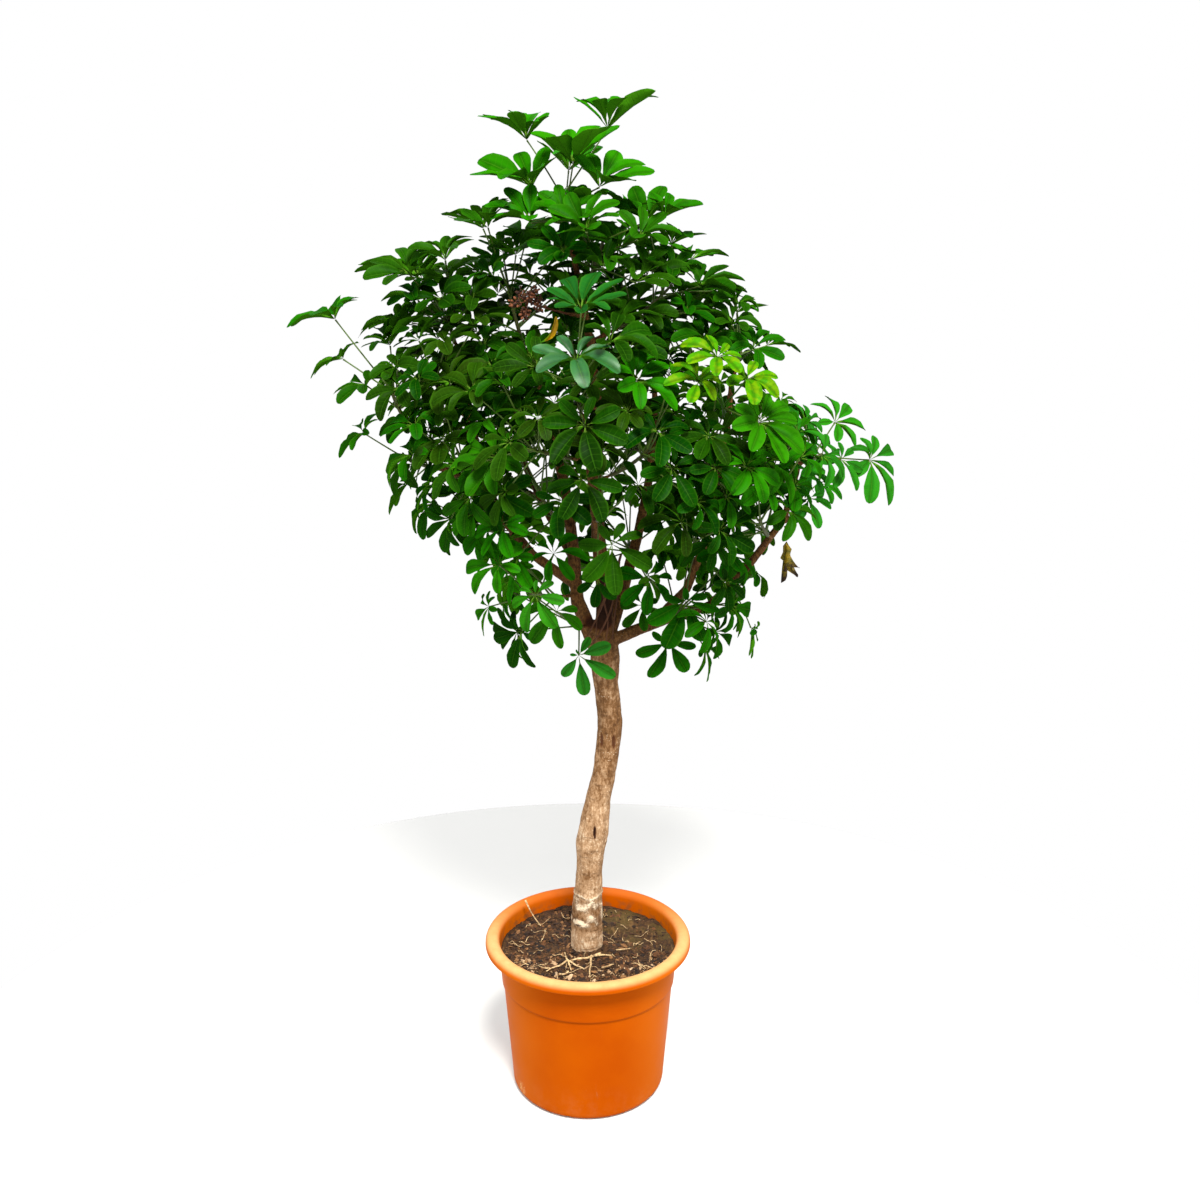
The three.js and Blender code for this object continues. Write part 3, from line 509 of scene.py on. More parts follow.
tinted = graph.add("GeometryNodeStoreNamedAttribute", {
    "Geometry": laid, "Name": "tint", "Value": tint * (0.84 + 0.18 * spot_y.step(0.0, -0.08))},
    domain="INSTANCE")
loose = graph.add("GeometryNodeRealizeInstances", {"Geometry": tinted})
crumb_tree = close_tree(graph, graph.add("GeometryNodeSetMaterial", {
    "Geometry": loose, "Material": given["Finish"]}))

crumb = Finish("crumbs_and_chips", 0.25)
shade = crumb.ramp(
    crumb.attribute("tint"), (0.0, paint(16, 8, 3)), (0.4, paint(42, 23, 9)),
    (0.7, paint(84, 51, 23)), (0.88, paint(130, 93, 56)), (0.98, paint(170, 142, 110)))
shade = crumb.coats(shade, (crumb.noise(300, 3).step(0.4, 0.7) * 0.5, EARTH[0]))
crumb.set(shade, 0.85, crumb.noise(500, 3), 0.0004)

crumbs = placed("soil_crumbs", soil.data.copy())
with reshaping(crumbs.data) as builder:
    buried = [v for v in builder.verts if v.co.z < SOIL_HEIGHT - 0.004
              or hypot(v.co.x, v.co.y) > SOIL_EDGE - 0.004]
    bmesh.ops.delete(builder, geom=buried, context="VERTS")
run_rule(crumbs, crumb_tree, {
    "Chips": chips, "Density": 80000.0, "Smallest": 0.0018, "Largest": 0.01,
    "Finish": crumb.material})
for chip in list(chips.objects):
    bpy.data.objects.remove(chip)
bpy.data.collections.remove(chips)
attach(crumbs, "root")


# ---- surface roots ---------------------------
# Thin pale roots that have come up in front of the trunk and lie on the compost. Each is one
# tapering strand; they meet in a small knot.
FACES_ROUND = 6


def store(mesh, name, values, kind="FLOAT", domain="POINT"):
    """Keeps a value for each point, edge or face of a mesh."""
    layer = mesh.attributes.new(name, kind, domain)
    values = np.array(values, bool if kind == "BOOLEAN" else np.float32).ravel()
    layer.data.foreach_set("vector" if kind == "FLOAT_VECTOR" else "value", values)


class Sprig:
    """Stalk lines with their thickness, and sockets that each bear a blade, for the growing rule."""

    FIELDS = {**dict.fromkeys(("turn", "size", "lift", "rise"), (0, 0, 0)),
              **dict.fromkeys(("bears", "thick", "fold", "tone", "fresh", "olive", "phase"), 0)}

    def __init__(self):
        self.spots, self.edges = [], []
        self.values = {name: [] for name in self.FIELDS}

    def point(self, spot, **values):
        self.spots.append(tuple(spot))
        for name, plain in self.FIELDS.items():
            self.values[name].append(values.get(name, plain))

    def line(self, spots, radii, **values):
        first = len(self.spots)
        for spot, radius in zip(spots, radii):
            self.point(spot, thick=radius, **values)
        self.edges += [(i, i + 1) for i in range(first, len(self.spots) - 1)]

    def bear(self, spot, forward, face, width, length, bow, **values):
        """A place for a blade that points forward, faces a way and bends by a bow."""
        axes = np.stack((np.cross(forward, face), forward, face), axis=1)
        self.point(spot, bears=1, turn=tuple(Matrix(axes.tolist()).to_euler()),
                   size=(width, length, length), lift=face * bow, rise=face * length, **values)

    def grow(self, name, stalk_finish, blade_finish=None, blade=None, wave=0.0):
        made = built(name, self.spots, self.edges)
        for field, plain in self.FIELDS.items():
            store(made.data, field, self.values[field], "FLOAT_VECTOR" if plain else "FLOAT")
        return run_rule(made, growing_tree, {
            "Blade": blade, "Stalk faces": FACES_ROUND, "Wave depth": wave,
            "Blade finish": blade_finish, "Stalk finish": stalk_finish})


graph, given = new_tree("growing_rule", {
    "Blade": "Object", "Stalk faces": "Int", "Wave depth": "Float",
    "Blade finish": "Material", "Stalk finish": "Material"})


def stored(name, kind="FLOAT"):
    return graph.add("GeometryNodeInputNamedAttribute", {"Name": name}, data_type=kind)


def scaled(name, amount):
    vector = stored(name, "FLOAT_VECTOR")
    return graph.add("ShaderNodeVectorMath", {0: vector, "Scale": amount}, operation="SCALE")


parted = graph.add("GeometryNodeSeparateGeometry", {
    "Geometry": given["Geometry"], "Selection": stored("bears")})
borne = graph.add("GeometryNodeInstanceOnPoints", {
    "Points": parted, "Scale": stored("size", "FLOAT_VECTOR"),
    "Instance": graph.add("GeometryNodeObjectInfo", {"Object": given["Blade"]}, out="Geometry"),
    "Rotation": graph.add("FunctionNodeEulerToRotation", {0: stored("turn", "FLOAT_VECTOR")})})
blades = graph.add("GeometryNodeRealizeInstances", {"Geometry": borne})
along = stored("along")
ripple = (along * 17 + stored("phase")).maths("SINE") * given["Wave depth"]
edge_rise = stored("across") ** 2 * (stored("fold") * along * (1 - along) * 4 + ripple)
bent = graph.add("ShaderNodeVectorMath", {
    0: scaled("lift", along * (1 - along) * 4), 1: scaled("rise", edge_rise)}, operation="ADD")
blades = graph.add("GeometryNodeSetPosition", {"Geometry": blades, "Offset": bent})
stalks = graph.add("GeometryNodeCurveToMesh", {
    "Curve": graph.add("GeometryNodeMeshToCurve", {"Mesh": parted.other(1)}),
    "Profile Curve": graph.add("GeometryNodeCurvePrimitiveCircle", {
        "Resolution": given["Stalk faces"], "Radius": 1.0}),
    "Scale": stored("thick"), "Fill Caps": True})
stalks = graph.add("GeometryNodeSetShadeSmooth", {"Geometry": stalks})
both = graph.add("GeometryNodeJoinGeometry", {0: stalks})
graph.feed(both.socket.node.inputs[0], blades)
whole = graph.add("GeometryNodeRealizeInstances", {"Geometry": both})
for chosen, label in ((True, "Stalk finish"), (stored("bears"), "Blade finish")):
    whole = graph.add("GeometryNodeSetMaterial", {
        "Geometry": whole, "Selection": chosen, "Material": given[label]})
growing_tree = close_tree(graph, whole)

SURFACE_ROOT_HEIGHT = SOIL_HEIGHT + SOIL_MOUND + 0.0022
SURFACE_ROOT_RADIUS = 0.0019
# Each root from its start to its end, x and y in millimetres.
SURFACE_ROOTS = [((22, -36), (-33, -57)), ((-33, -57), (-68, -88)), ((-33, -57), (-39, -29)),
                 ((-33, -57), (-6, -82)), ((-33, -57), (-27, -86)), ((6, -43), (4, -106)),
                 ((6, -43), (40, -37))]
MM = 0.001

pale_root = Finish("pale_root", 0.3)
rough = pale_root.noise(260, 4)
shade = pale_root.coats(paint(184, 158, 116), (rough.step(0.35, 0.7), paint(120, 90, 56)),
                        (pale_root.noise(60, 3).step(0.58, 0.7) * 0.6, EARTH[1]))
pale_root.set(shade, 0.75, rough, 0.0004)

draw = np.random.default_rng(5)
root_lines = Sprig()
for (x0, y0), (x1, y1) in SURFACE_ROOTS:
    start, end = np.array((x0, y0)) * MM, np.array((x1, y1)) * MM
    sideways = np.array((y0 - y1, x1 - x0)) * MM
    sway, beat = draw.uniform(-0.07, 0.07), draw.uniform(0, 6)
    thickness = SURFACE_ROOT_RADIUS * (1.35 if (x0, y0) == (22, -36) else 1.0)
    spots, radii = [], []
    for share in np.linspace(0, 1, 12):
        bend = sway * sin(pi * share) + 0.018 * sin(7 * share + beat)
        bend *= sin(pi * share)
        x, y = start + (end - start) * share + sideways * bend
        dip = 0.0016 * share ** 3 + 0.0006 * sin(9 * share + beat)
        spots.append((x, y, SURFACE_ROOT_HEIGHT - dip))
        radii.append(thickness * (1 - 0.5 * share) * draw.uniform(0.88, 1.1))
    root_lines.line(spots, radii)
surface_roots = root_lines.grow("pale_surface_roots", pale_root.material)
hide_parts("surface_roots")
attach(surface_roots, "root")

# Thin root hairs and straws that lie about on the compost.
FIBRES = 60
FIBRE_LENGTH, FIBRE_RADIUS = (0.01, 0.038), (0.0003, 0.0007)
fibres = Sprig()
for _ in range(FIBRES):
    turn, out = draw.uniform(0, tau), sqrt(draw.uniform(0.09, 0.9))
    spot = np.array((cos(turn), sin(turn))) * out * (SOIL_EDGE - 0.012)
    heading, bend = draw.uniform(0, tau), draw.uniform(-0.3, 0.3)
    stride = draw.uniform(*FIBRE_LENGTH) / 6
    spots = []
    for i in range(7):
        if np.linalg.norm(spot) < SOIL_EDGE - 0.004:
            lie = SOIL_HEIGHT + SOIL_MOUND * (1 - out) ** 2 + 0.0038
            spots.append((*spot, lie + 0.002 * sin(i * 1.3 + turn)))
        spot = spot + stride * np.array((cos(heading), sin(heading)))
        heading += bend + draw.uniform(-0.25, 0.25)
    fibres.line(spots, [draw.uniform(*FIBRE_RADIUS)] * len(spots))
soil_fibres = fibres.grow("soil_fibres", pale_root.material)
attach(soil_fibres, "root")


# ---- trunk and limbs -------------------------
# One woody stem that divides at about 80 cm into slender limbs. It grew as a single piece: tan,
# mottled bark with slit scars, a pale ridge and peeling whitish skin near the soil, whose lower lip at
# the front carries a painted highlight. The fork between the limbs is painted dark, as painted shade.
BARK_GRID = 0.0022
SMOOTHINGS = 110
FORK_HEIGHT = 0.8
BARK_RELIEF = 0.0011
LIMB_RELIEF = 0.00035
# Slits in the bark: place, half width, half height, depth and darkness. The last two have no depth:
# they paint the fork dark, as painted shade where the limbs part.
SLITS = [((0.012, -0.025, 0.468), 0.0028, 0.0135, 0.0034, 1.0),
         ((0.023, -0.02, 0.627), 0.0034, 0.014, 0.0018, 0.72),
         ((0.043, -0.018, 0.625), 0.0036, 0.015, 0.0018, 0.72),
         ((-0.018, -0.027, 0.298), 0.009, 0.0028, 0.002, 0.8),
         ((0.03, -0.02, 0.862), 0.025, 0.048, 0.0, 1.0),
         ((0.02, -0.026, 0.826), 0.034, 0.02, 0.0, 0.9)]
# Swellings: middle, reach and height.
KNOTS = [((0.033, -0.012, 0.462), 0.013, 0.0022), ((-0.012, -0.016, 0.466), 0.012, 0.0016),
         ((0.029, -0.019, 0.572), 0.005, 0.0012), ((0.052, -0.008, 0.655), 0.012, 0.002),
         ((0.006, -0.019, 0.505), 0.009, 0.001), ((0.012, -0.02, 0.395), 0.01, 0.0012)]
RIDGE_HEIGHT = 0.352
RIDGE_NOTCH = 0.006
COLLAR = (0.296, 0.32)


def smooth_step(values, low, high):
    share = np.clip((values - low) / (high - low), 0, 1)
    return share * share * (3 - 2 * share)


def as_arrays(mesh):
    spots = np.empty(len(mesh.vertices) * 3)
    mesh.vertices.foreach_get("co", spots)
    edges = np.empty(len(mesh.edges) * 2, int)
    mesh.edges.foreach_get("vertices", edges)
    return spots.reshape(-1, 3), edges.reshape(-1, 2)


def eased(spots, edges, rounds):
    """Smooths without shrinking, by a pull to the neighbours and a smaller push back."""
    ends, others = np.concatenate((edges, edges[:, ::-1])).T
    count = np.bincount(ends, minlength=len(spots))[:, None]
    for _ in range(rounds):
        for pull in (0.5, -0.52):
            around = np.stack([np.bincount(ends, spots[others, axis], len(spots))
                               for axis in range(3)], axis=1) / count
            spots = spots + pull * (around - spots)
    return spots


def merged_copy(node, name):
    """A copy of one of the frame's parts with its loose triangles joined up."""
    made = built(name, [])
    with reshaping(made.data) as builder:
        builder.from_mesh(frame["nodes"][node].data)
        bmesh.ops.remove_doubles(builder, verts=builder.verts, dist=1e-5)
    return made


def put_back(mesh, spots):
    mesh.vertices.foreach_set("co", spots.ravel())
    mesh.update()


wood = merged_copy("trunk", "trunk_and_limbs")
remesh = wood.modifiers.new("remesh", "REMESH")
remesh.mode = "VOXEL"
remesh.voxel_size = BARK_GRID
keep_result(wood)
spots, edges = as_arrays(wood.data)
spots = eased(spots, edges, SMOOTHINGS)
put_back(wood.data, spots)
normals = np.array([vertex.normal for vertex in wood.data.vertices])

x, y, z = spots.T
stout = 1 - smooth_step(z, FORK_HEIGHT - 0.02, FORK_HEIGHT + 0.06)
relief = LIMB_RELIEF + (BARK_RELIEF - LIMB_RELIEF) * stout
stretch = np.array((1, 1, 0.45))
grain = np.array([noise.fractal(Vector(spot * stretch) * 95, 0.8, 2.1, 4) for spot in spots])
lumps = np.array([noise.noise(Vector(spot) * 28) for spot in spots])
push = relief * (grain * 0.8 + lumps * 0.9)
dark = np.zeros(len(spots))
for place, half_width, half_height, depth, darkness in SLITS:
    away = (spots - place) / (half_width, max(0.012, half_width), half_height)
    inside = np.clip(1 - (away ** 2).sum(axis=1), 0, 1)
    lips = np.clip(1 - ((away / 1.9) ** 2).sum(axis=1), 0, 1) - inside
    push += 0.4 * depth * lips - depth * inside
    dark = np.maximum(dark, darkness * smooth_step(inside, 0.0, 0.5))
for place, reach, height in KNOTS:
    away = ((spots - place) ** 2).sum(axis=1) / reach ** 2
    push += height * np.exp(-away * 1.5)
front = np.exp(-((x - 0.004) / 0.011) ** 2) * (y < 0)
ragged = np.array([noise.noise(Vector(spot) * 70 + Vector((4, 1, 8))) for spot in spots])
ridge_at = RIDGE_HEIGHT - RIDGE_NOTCH * front + 0.0022 * ragged
ridge = np.exp(-((z - ridge_at) / 0.0026) ** 2)
collar = (smooth_step(z, COLLAR[0] - 0.002, COLLAR[0] + 0.004 + 0.004 * ragged.clip(0))
          * (1 - smooth_step(z, COLLAR[1] - 0.004, COLLAR[1] + 0.022 + 0.02 * ragged)))
push += 0.0014 * ridge + 0.0012 * collar * (0.5 + ragged)
# The front lip above the soil is whitish: partly pale skin, partly a painted highlight that is
# strongest on its left.
lip_skin_and_shine = np.exp(-((z - COLLAR[0] - 0.006) / 0.006) ** 2) * (y < 0)
below_ridge = smooth_step(z, COLLAR[0], COLLAR[0] + 0.004) * (
    1 - smooth_step(z, RIDGE_HEIGHT - 0.008, RIDGE_HEIGHT))
leftward = smooth_step(-x, -0.016, 0.012)
pale = np.clip(0.5 * ridge + below_ridge * (0.22 + 0.8 * ragged)
               + lip_skin_and_shine * (0.2 + 0.7 * leftward + 0.8 * ragged), 0, 1)
cut_face = (x > 0.3385) & (np.abs(z - 0.993) < 0.008)
pale = np.maximum(pale, cut_face * 0.8)
spots = spots + normals * push[:, None]
put_back(wood.data, spots)
store(wood.data, "dark", dark)
store(wood.data, "pale", pale)
wood.data.shade_smooth()

bark = Finish("mottled_bark", 0.1)
BARK_DARK, BARK_MID, BARK_PALE = paint(46, 27, 12), paint(94, 64, 36), paint(196, 178, 152)
blotch = bark.noise(34, 5, 0.65)
mottle = bark.noise(230, 5, 0.75, (1, 1, 0.6))
streak = bark.noise(190, 4, 0.65, (1, 1, 0.1)) * bark.z.step(0.3, 0.36)
# The bark is made lighter towards the bottom, and lighter still just above the soil: painted light
# against the shade of the pot's rim.
level = (blotch * 0.34 + mottle * 0.48 + streak * 0.18 + bark.z.step(0.66, 0.42) * 0.09
         + bark.z.step(0.31, 0.27) * 0.14)
flecks = bark.add("ShaderNodeTexVoronoi", {"Vector": bark.stretched((1, 1, 1.6)), "Scale": 210})
flecks = flecks.step(0.26, 0.12)
bands = bark.noise(42, 4, 0.7, (0.5, 0.5, 5)).step(0.56, 0.68)
# The pale attribute holds the pale ridge, peeling skin and a cut end, and a painted highlight on the
# lip above the soil.
skin_and_shine, scars_and_fork_shade = bark.attribute("pale"), bark.attribute("dark")
peeling_and_shine = (skin_and_shine + (bark.noise(240, 5, 0.7) - 0.5) * 1.5).step(0.28, 0.62) * skin_and_shine.step(0.02, 0.2)
limb_shade = bark.coats(paint(50, 30, 13), (mottle.step(0.35, 0.65), paint(102, 68, 32)),
                        (flecks * 0.35, BARK_MID))
shade = bark.coats(
    bark.ramp(level, (0.36, BARK_DARK), (0.5, BARK_MID), (0.62, paint(142, 113, 84)),
              (0.76, BARK_PALE)),
    (flecks * bark.noise(40, 2).step(0.5, 0.65) * 0.7, BARK_PALE), (bands * 0.35, BARK_DARK),
    (bark.z.step(FORK_HEIGHT - 0.05, FORK_HEIGHT + 0.03) * 0.92, limb_shade),
    # The slit scars are darkened, and the fork is painted dark as painted shade between the limbs.
    (peeling_and_shine * 0.75 + skin_and_shine * 0.3, BARK_PALE), (scars_and_fork_shade * 1.2, paint(60, 28, 8)),
    (scars_and_fork_shade.step(0.6, 1.0) * 0.85, paint(24, 10, 4)))
wood.data.materials.clear()
wood.data.materials.append(bark.set(
    shade, 0.78 - 0.2 * peeling_and_shine, mottle * 0.7 + streak * 0.6 + peeling_and_shine * 0.5 - bands * 0.3, 0.0016))
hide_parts("trunk")
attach(wood, "root")

# Dark fibrous strands that hang in the fork, a string-like aerial root, a fallen twig and curled
# bits of bark on the soil. Points in millimetres, then the thickest radius.
STRANDS = [
    ([(51, -14, 926), (47, -20, 890), (38, -27, 850), (22, -32, 815), (6, -31, 792)], 2.4),
    ([(54, -10, 935), (43, -21, 900), (27, -28, 862), (10, -32, 825), (-2, -29, 802)], 2.0),
    ([(44, -16, 915), (49, -20, 880), (44, -27, 842), (40, -28, 800)], 1.8),
    ([(31, -19, 905), (26, -23, 870), (33, -29, 832), (30, -33, 798)], 1.6),
    ([(40, -18, 922), (34, -23, 880), (18, -29, 846), (14, -31, 806)], 1.4),
    ([(-6, -20, 889), (7, -23, 885), (21, -20, 878)], 0.9)]
LITTER = [
    ([(-112, 80, 292), (-103, 73, 276), (-93, 66, 262), (-84, 60, 253)], 1.6),
    ([(-46, -98, 252), (-38, -105, 256), (-31, -100, 258), (-34, -92, 254)], 1.7),
    ([(-62, -80, 252), (-70, -86, 256), (-78, -82, 256), (-80, -74, 252)], 1.4),
    ([(24, -78, 252), (33, -82, 257), (41, -76, 257), (44, -68, 252)], 1.6),
    ([(48, -20, 251), (60, -26, 256), (70, -22, 255), (74, -14, 251)], 1.5)]


def rounded_path(points, steps):
    """A smooth path through a few points."""
    points = [np.array(p, float) for p in points]
    ends = [2 * points[0] - points[1], *points, 2 * points[-1] - points[-2]]
    path = []
    for before, start, end, after in zip(ends, ends[1:], ends[2:], ends[3:]):
        for s in np.arange(steps) / steps:
            path.append(0.5 * (2 * start + (end - before) * s
                               + (2 * before - 5 * start + 4 * end - after) * s ** 2
                               + (3 * start - before - 3 * end + after) * s ** 3))
    return path + [points[-1]]


strand_finish = Finish("dark_fibre", 0.2)
fibre_grain = strand_finish.noise(300, 3, 0.6, (1, 1, 0.2))
strand_finish.set(strand_finish.coats(paint(26, 12, 8), (fibre_grain, paint(92, 56, 34))), 0.85,
                  fibre_grain, 0.0006)
for name, lines, finish in (("fork_fibres", STRANDS, strand_finish), ("litter", LITTER, pale_root)):
    strands = Sprig()
    for points, thickest in lines:
        path = rounded_path(points, 6)
        radii = [thickest * MM * (1 - 0.5 * i / len(path)) * draw.uniform(0.85, 1.15)
                 for i in range(len(path))]
        strands.line([spot * MM for spot in path], radii)
    piece = strands.grow(name, finish.material)
    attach(piece, "root")


# ---- leafy shoots ----------------------------
# Green shoots that end the limbs. Each carries leaves on long pale stalks, and a leaf is a fan of
# seven to nine glossy leaflets round one point, cupped in the crown's top and hanging at its foot.
LEAFLET_SIDES = 8
# Stations along a leaflet of unit length: share of the length, half width and half thickness.
LEAFLET = [(0.09, 0.012, 0.01), (0.17, 0.016, 0.0095), (0.28, 0.075, 0.0045),
           (0.42, 0.14, 0.0042), (0.56, 0.185, 0.004), (0.7, 0.204, 0.0038),
           (0.84, 0.182, 0.0034), (0.93, 0.132, 0.0028), (0.98, 0.074, 0.002)]
STEM_RADII = (0.0032, 0.0023)
INTO_TWIG = 0.004
STALK_RADIUS = 0.00125
# The crown's outline from the front: height and its left and right edge, in millimetres.
CROWN = np.array([
    (750, -140, 190), (858, -165, 280), (956, -215, 315), (1019, -290, 400), (1082, -335, 480),
    (1144, -380, 440), (1205, -390, 310), (1265, -420, 315), (1324, -400, 265), (1382, -280, 190),
    (1439, -195, 170), (1496, -165, 110), (1551, -135, 90), (1610, -60, 115)]) * MM
CROWN_DEPTH = 0.78
CROWN_MIDDLE = np.array((0.02, 0, 1.09))
CROWN_LOW, CROWN_HIGH = 0.82, 1.48
LIGHT = np.array((0, -0.3, 0.85))
FACE_OUTWARD, FACE_ALONG = 0.62, 0.5
# How far leaflets cup and sag for their reach, at the crown's foot and at its top.
CUP, SAG = np.tan(np.radians((4, 36))), (0.8, 0.12)
INNER_LEAVES = 10
# Inner leaves stay within this share of the outline, these sides and under this height.
INNER_SHARE, INNER_SIDES, INNER_TOP = 0.86, (-0.27, 0.35), 1.44
CLEAR_OF_OTHERS = 0.045
FRAME_MARGINS = (0.004, 0.005)
# The share of a leaflet's length at which its bow is read, and how much of the bow is there.
SHOULDER_AT, BOW_THERE = 0.78, 0.686
OPEN_HALF, OPEN_TOP = 0.13, 1.12  # the space in front of the middle limbs, which show there
SPRAY_MIDDLE = np.mean(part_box("dried_spray"), axis=0)
SPRAY_ROOM = 0.07
# Heights over which leaves are painted lighter upwards and, with the sign turned, downwards: painted
# light on the crown's top and foot.
HIGH_LEAVES, LOW_LEAVES = (1.3, 1.5), (-1.06, -0.92)
# The two foremost leaves of the crown's middle, painted bluish as a painted sky reflection.
BLUISH_LEAVES = (((-0.013, -0.245, 1.245), 1.0), ((-0.005, -0.2, 1.308), 0.755))
YOUNG_FROM = 1.17
PALE_RIGHT = (0.2, 0.38)  # leaves turn paler from the first of these to the second
# Leaves beyond FAR_RIGHT are painted bluish too, as a painted sky reflection, and are turned a little
# to the front.
FAR_RIGHT, TURNED_FORWARD = 0.33, np.array((0, -0.6, 0))
# Leaves in patches of this scale are painted lighter, as painted dappled light.
DAPPLE_SCALE = 13
# Places where leaves are painted lighter, as painted light, and how far round them.
BRIGHT_PLACES = (((-0.13, -0.12, 0.93), 0.1), ((-0.112, -0.17, 1.116), 0.055),
                 ((0.104, -0.18, 1.217), 0.06), ((0.225, -0.16, 1.087), 0.06))
# A leaf in front of the trunk spreads to the right, and one before the fork is small.
ACROSS_TRUNK, ACROSS_AHEAD = (-0.012, -0.1, 0.795), (0.83, -0.05, -0.55)
SMALL_LEAF, SMALL_SHARE = (0.017, -0.146, 0.925), 0.6
# A single leaflet that has turned yellow: base and tip.
TURNED = ((-0.064, -0.148, 1.264), (-0.04, -0.158, 1.3))
SAME_LEAF = 0.02  # how near a leaf is to the place by which it is known
TRIES = 40
GOLDEN_TURN = radians(137.5)


def unit(vector):
    return vector / np.linalg.norm(vector)


def flattened(vector, normal):
    """The direction that a vector has in the plane across a normal."""
    return unit(vector - normal * np.dot(vector, normal))


def swung(vector, axis, turn):
    """A vector swung round an axis that is square to it."""
    return vector * cos(turn) + np.cross(axis, vector) * sin(turn)


def grouped(spots, reach):
    """Spots in groups, each within reach of the first of its group."""
    groups = []
    for spot in spots:
        near = [group for group in groups if np.linalg.norm(group[0] - spot) < reach]
        if near:
            near[0].append(spot)
        else:
            groups.append([spot])
    return groups


def leaflet_blade():
    """One leaflet of unit length along +Y: a closed blade with a knife edge and a thin stalk."""
    angles = [pi * side / 4 for side in range(LEAFLET_SIDES)]
    spots = [(half_width * cos(angle), share, half_thick * sin(angle))
             for share, half_width, half_thick in LEAFLET for angle in angles]
    spots = [(0, 0, 0), *spots, (0, 1, 0)]
    across = [0, *[cos(angle) for angle in angles] * len(LEAFLET), 0]
    last = len(spots) - 1
    faces, under = [], []
    for side in range(LEAFLET_SIDES):
        after = (side + 1) % LEAFLET_SIDES
        beneath = side >= LEAFLET_SIDES // 2
        strip = [(0, 1 + side, 1 + after)]
        for row in range(1, last - LEAFLET_SIDES, LEAFLET_SIDES):
            near, far, far_after, near_after = (
                row + side, row + LEAFLET_SIDES + side, row + LEAFLET_SIDES + after, row + after)
            # Both skins are cut along the same diagonals, so that they don't cross when bent.
            strip += [(near, far, near_after if beneath else far_after),
                      (far if beneath else near, far_after, near_after)]
        strip.append((last - LEAFLET_SIDES + side, last, last - LEAFLET_SIDES + after))
        faces += strip
        under += [beneath] * len(strip)
    made = built("leaflet", spots, faces=faces)
    made.data.shade_smooth()
    store(made.data, "along", [spot[1] for spot in spots])
    store(made.data, "across", across)
    store(made.data, "under", under, domain="FACE")
    rims = [all(abs(across[v]) > 0.99 for v in edge.vertices) for edge in made.data.edges]
    store(made.data, "sharp_edge", rims, "BOOLEAN", "EDGE")
    return made


def read_shoot(node):
    """The leaves of one of the frame's own parts, as fans, and the middles of its stem's rings."""
    builder = bmesh.new()
    builder.from_mesh(frame["nodes"][node].data)
    bmesh.ops.remove_doubles(builder, verts=builder.verts, dist=1e-5)

    def beside(group, *known):
        found = {edge.other_vert(vertex) for vertex in group for edge in vertex.link_edges}
        return found - set().union(group, *known)

    def middle_of(group):
        return np.mean([v.co for v in sorted(group, key=lambda v: v.index)], axis=0)

    rest, fans = set(builder.verts), []
    hubs = [v for v in builder.verts if len(v.link_edges) >= 15
            and all(len(edge.other_vert(v).link_edges) < 9 for edge in v.link_edges)]
    for hub in hubs:
        rim = beside({hub})
        lower_rim = beside(rim, {hub})
        collar_ring = {v for v in beside(lower_rim, rim) if (v.co - hub.co).length < 0.008}
        root = {v for v in beside(collar_ring, rim, lower_rim) if (v.co - hub.co).length > 0.02}
        rest -= rim | lower_rim | collar_ring | root | {hub}
        middle, start = np.array(hub.co), middle_of(root)
        normal = unit(middle_of(rim) - middle_of(lower_rim))
        ahead = flattened(middle - start, normal)
        aside = np.cross(normal, ahead)
        reaches = np.array([v.co for v in rim]) - middle
        reaches = reaches @ np.stack((ahead, aside, normal), axis=1)
        angle = np.arctan2(reaches[:, 1], reaches[:, 0])
        in_turn = np.argsort(angle)
        angle, (ahead_by, aside_by, height) = angle[in_turn], reaches[in_turn].T
        flat = np.hypot(aside_by, ahead_by)
        tips, shoulders = [], []
        for gap in np.sort(np.argsort(flat)[:len(rim) // 3]):
            pair = [(gap + 1) % len(rim), (gap + 2) % len(rim)]
            pair.sort(key=lambda i: hypot(flat[i], height[i]))
            shoulders.append(pair[0])
            tips.append(pair[1])
        fans.append({
            "hub": middle, "root": start, "normal": normal, "ahead": ahead,
            "reach": swing(angle[tips], flat[tips]), "height": swing(angle[tips], height[tips]),
            "shoulder": swing(angle[shoulders], height[shoulders])})
    stem_spots = [np.array(v.co) for v in sorted(rest, key=lambda v: v.index)]
    builder.free()
    return fans, [np.mean(ring, axis=0) for ring in grouped(stem_spots, 0.009) if len(ring) >= 4]


def swing(angles, values):
    """How a value changes round a leaf, as a mean and its swing ahead and aside."""
    table = np.stack((np.ones(len(angles)), np.cos(angles), np.sin(angles)), axis=1)
    return np.linalg.lstsq(table, values, rcond=None)[0]


def round_leaf(swings, angle):
    return np.dot(swings, (1, cos(angle), sin(angle)))


def stem_line(rings, fans):
    """A stem's start, end and bow, from the points that it passes."""
    spots = np.array(rings + [fan["root"] for fan in fans])
    gaps = [min(np.linalg.norm(wood_spots - ring, axis=1)) for ring in rings]
    start = rings[np.argmin(gaps)]
    end = max(rings, key=lambda ring: np.linalg.norm(ring - start))
    chord = end - start
    share = np.clip(((spots - start) @ chord) / (chord @ chord), 0, 1)
    bulge = 4 * share * (1 - share)
    off = spots - start - share[:, None] * chord
    bow = (off * bulge[:, None]).sum(axis=0) / max((bulge ** 2).sum(), 1e-6)
    return start, end, bow


def on_stem(stem, share):
    start, end, bow = stem
    return start + (end - start) * share + bow * 4 * share * (1 - share)


def crown_half(height):
    """The middle and half width of the crown at a height."""
    left, right = (np.interp(height, CROWN[:, 0], CROWN[:, side]) for side in (1, 2))
    return (left + right) / 2, (right - left) / 2


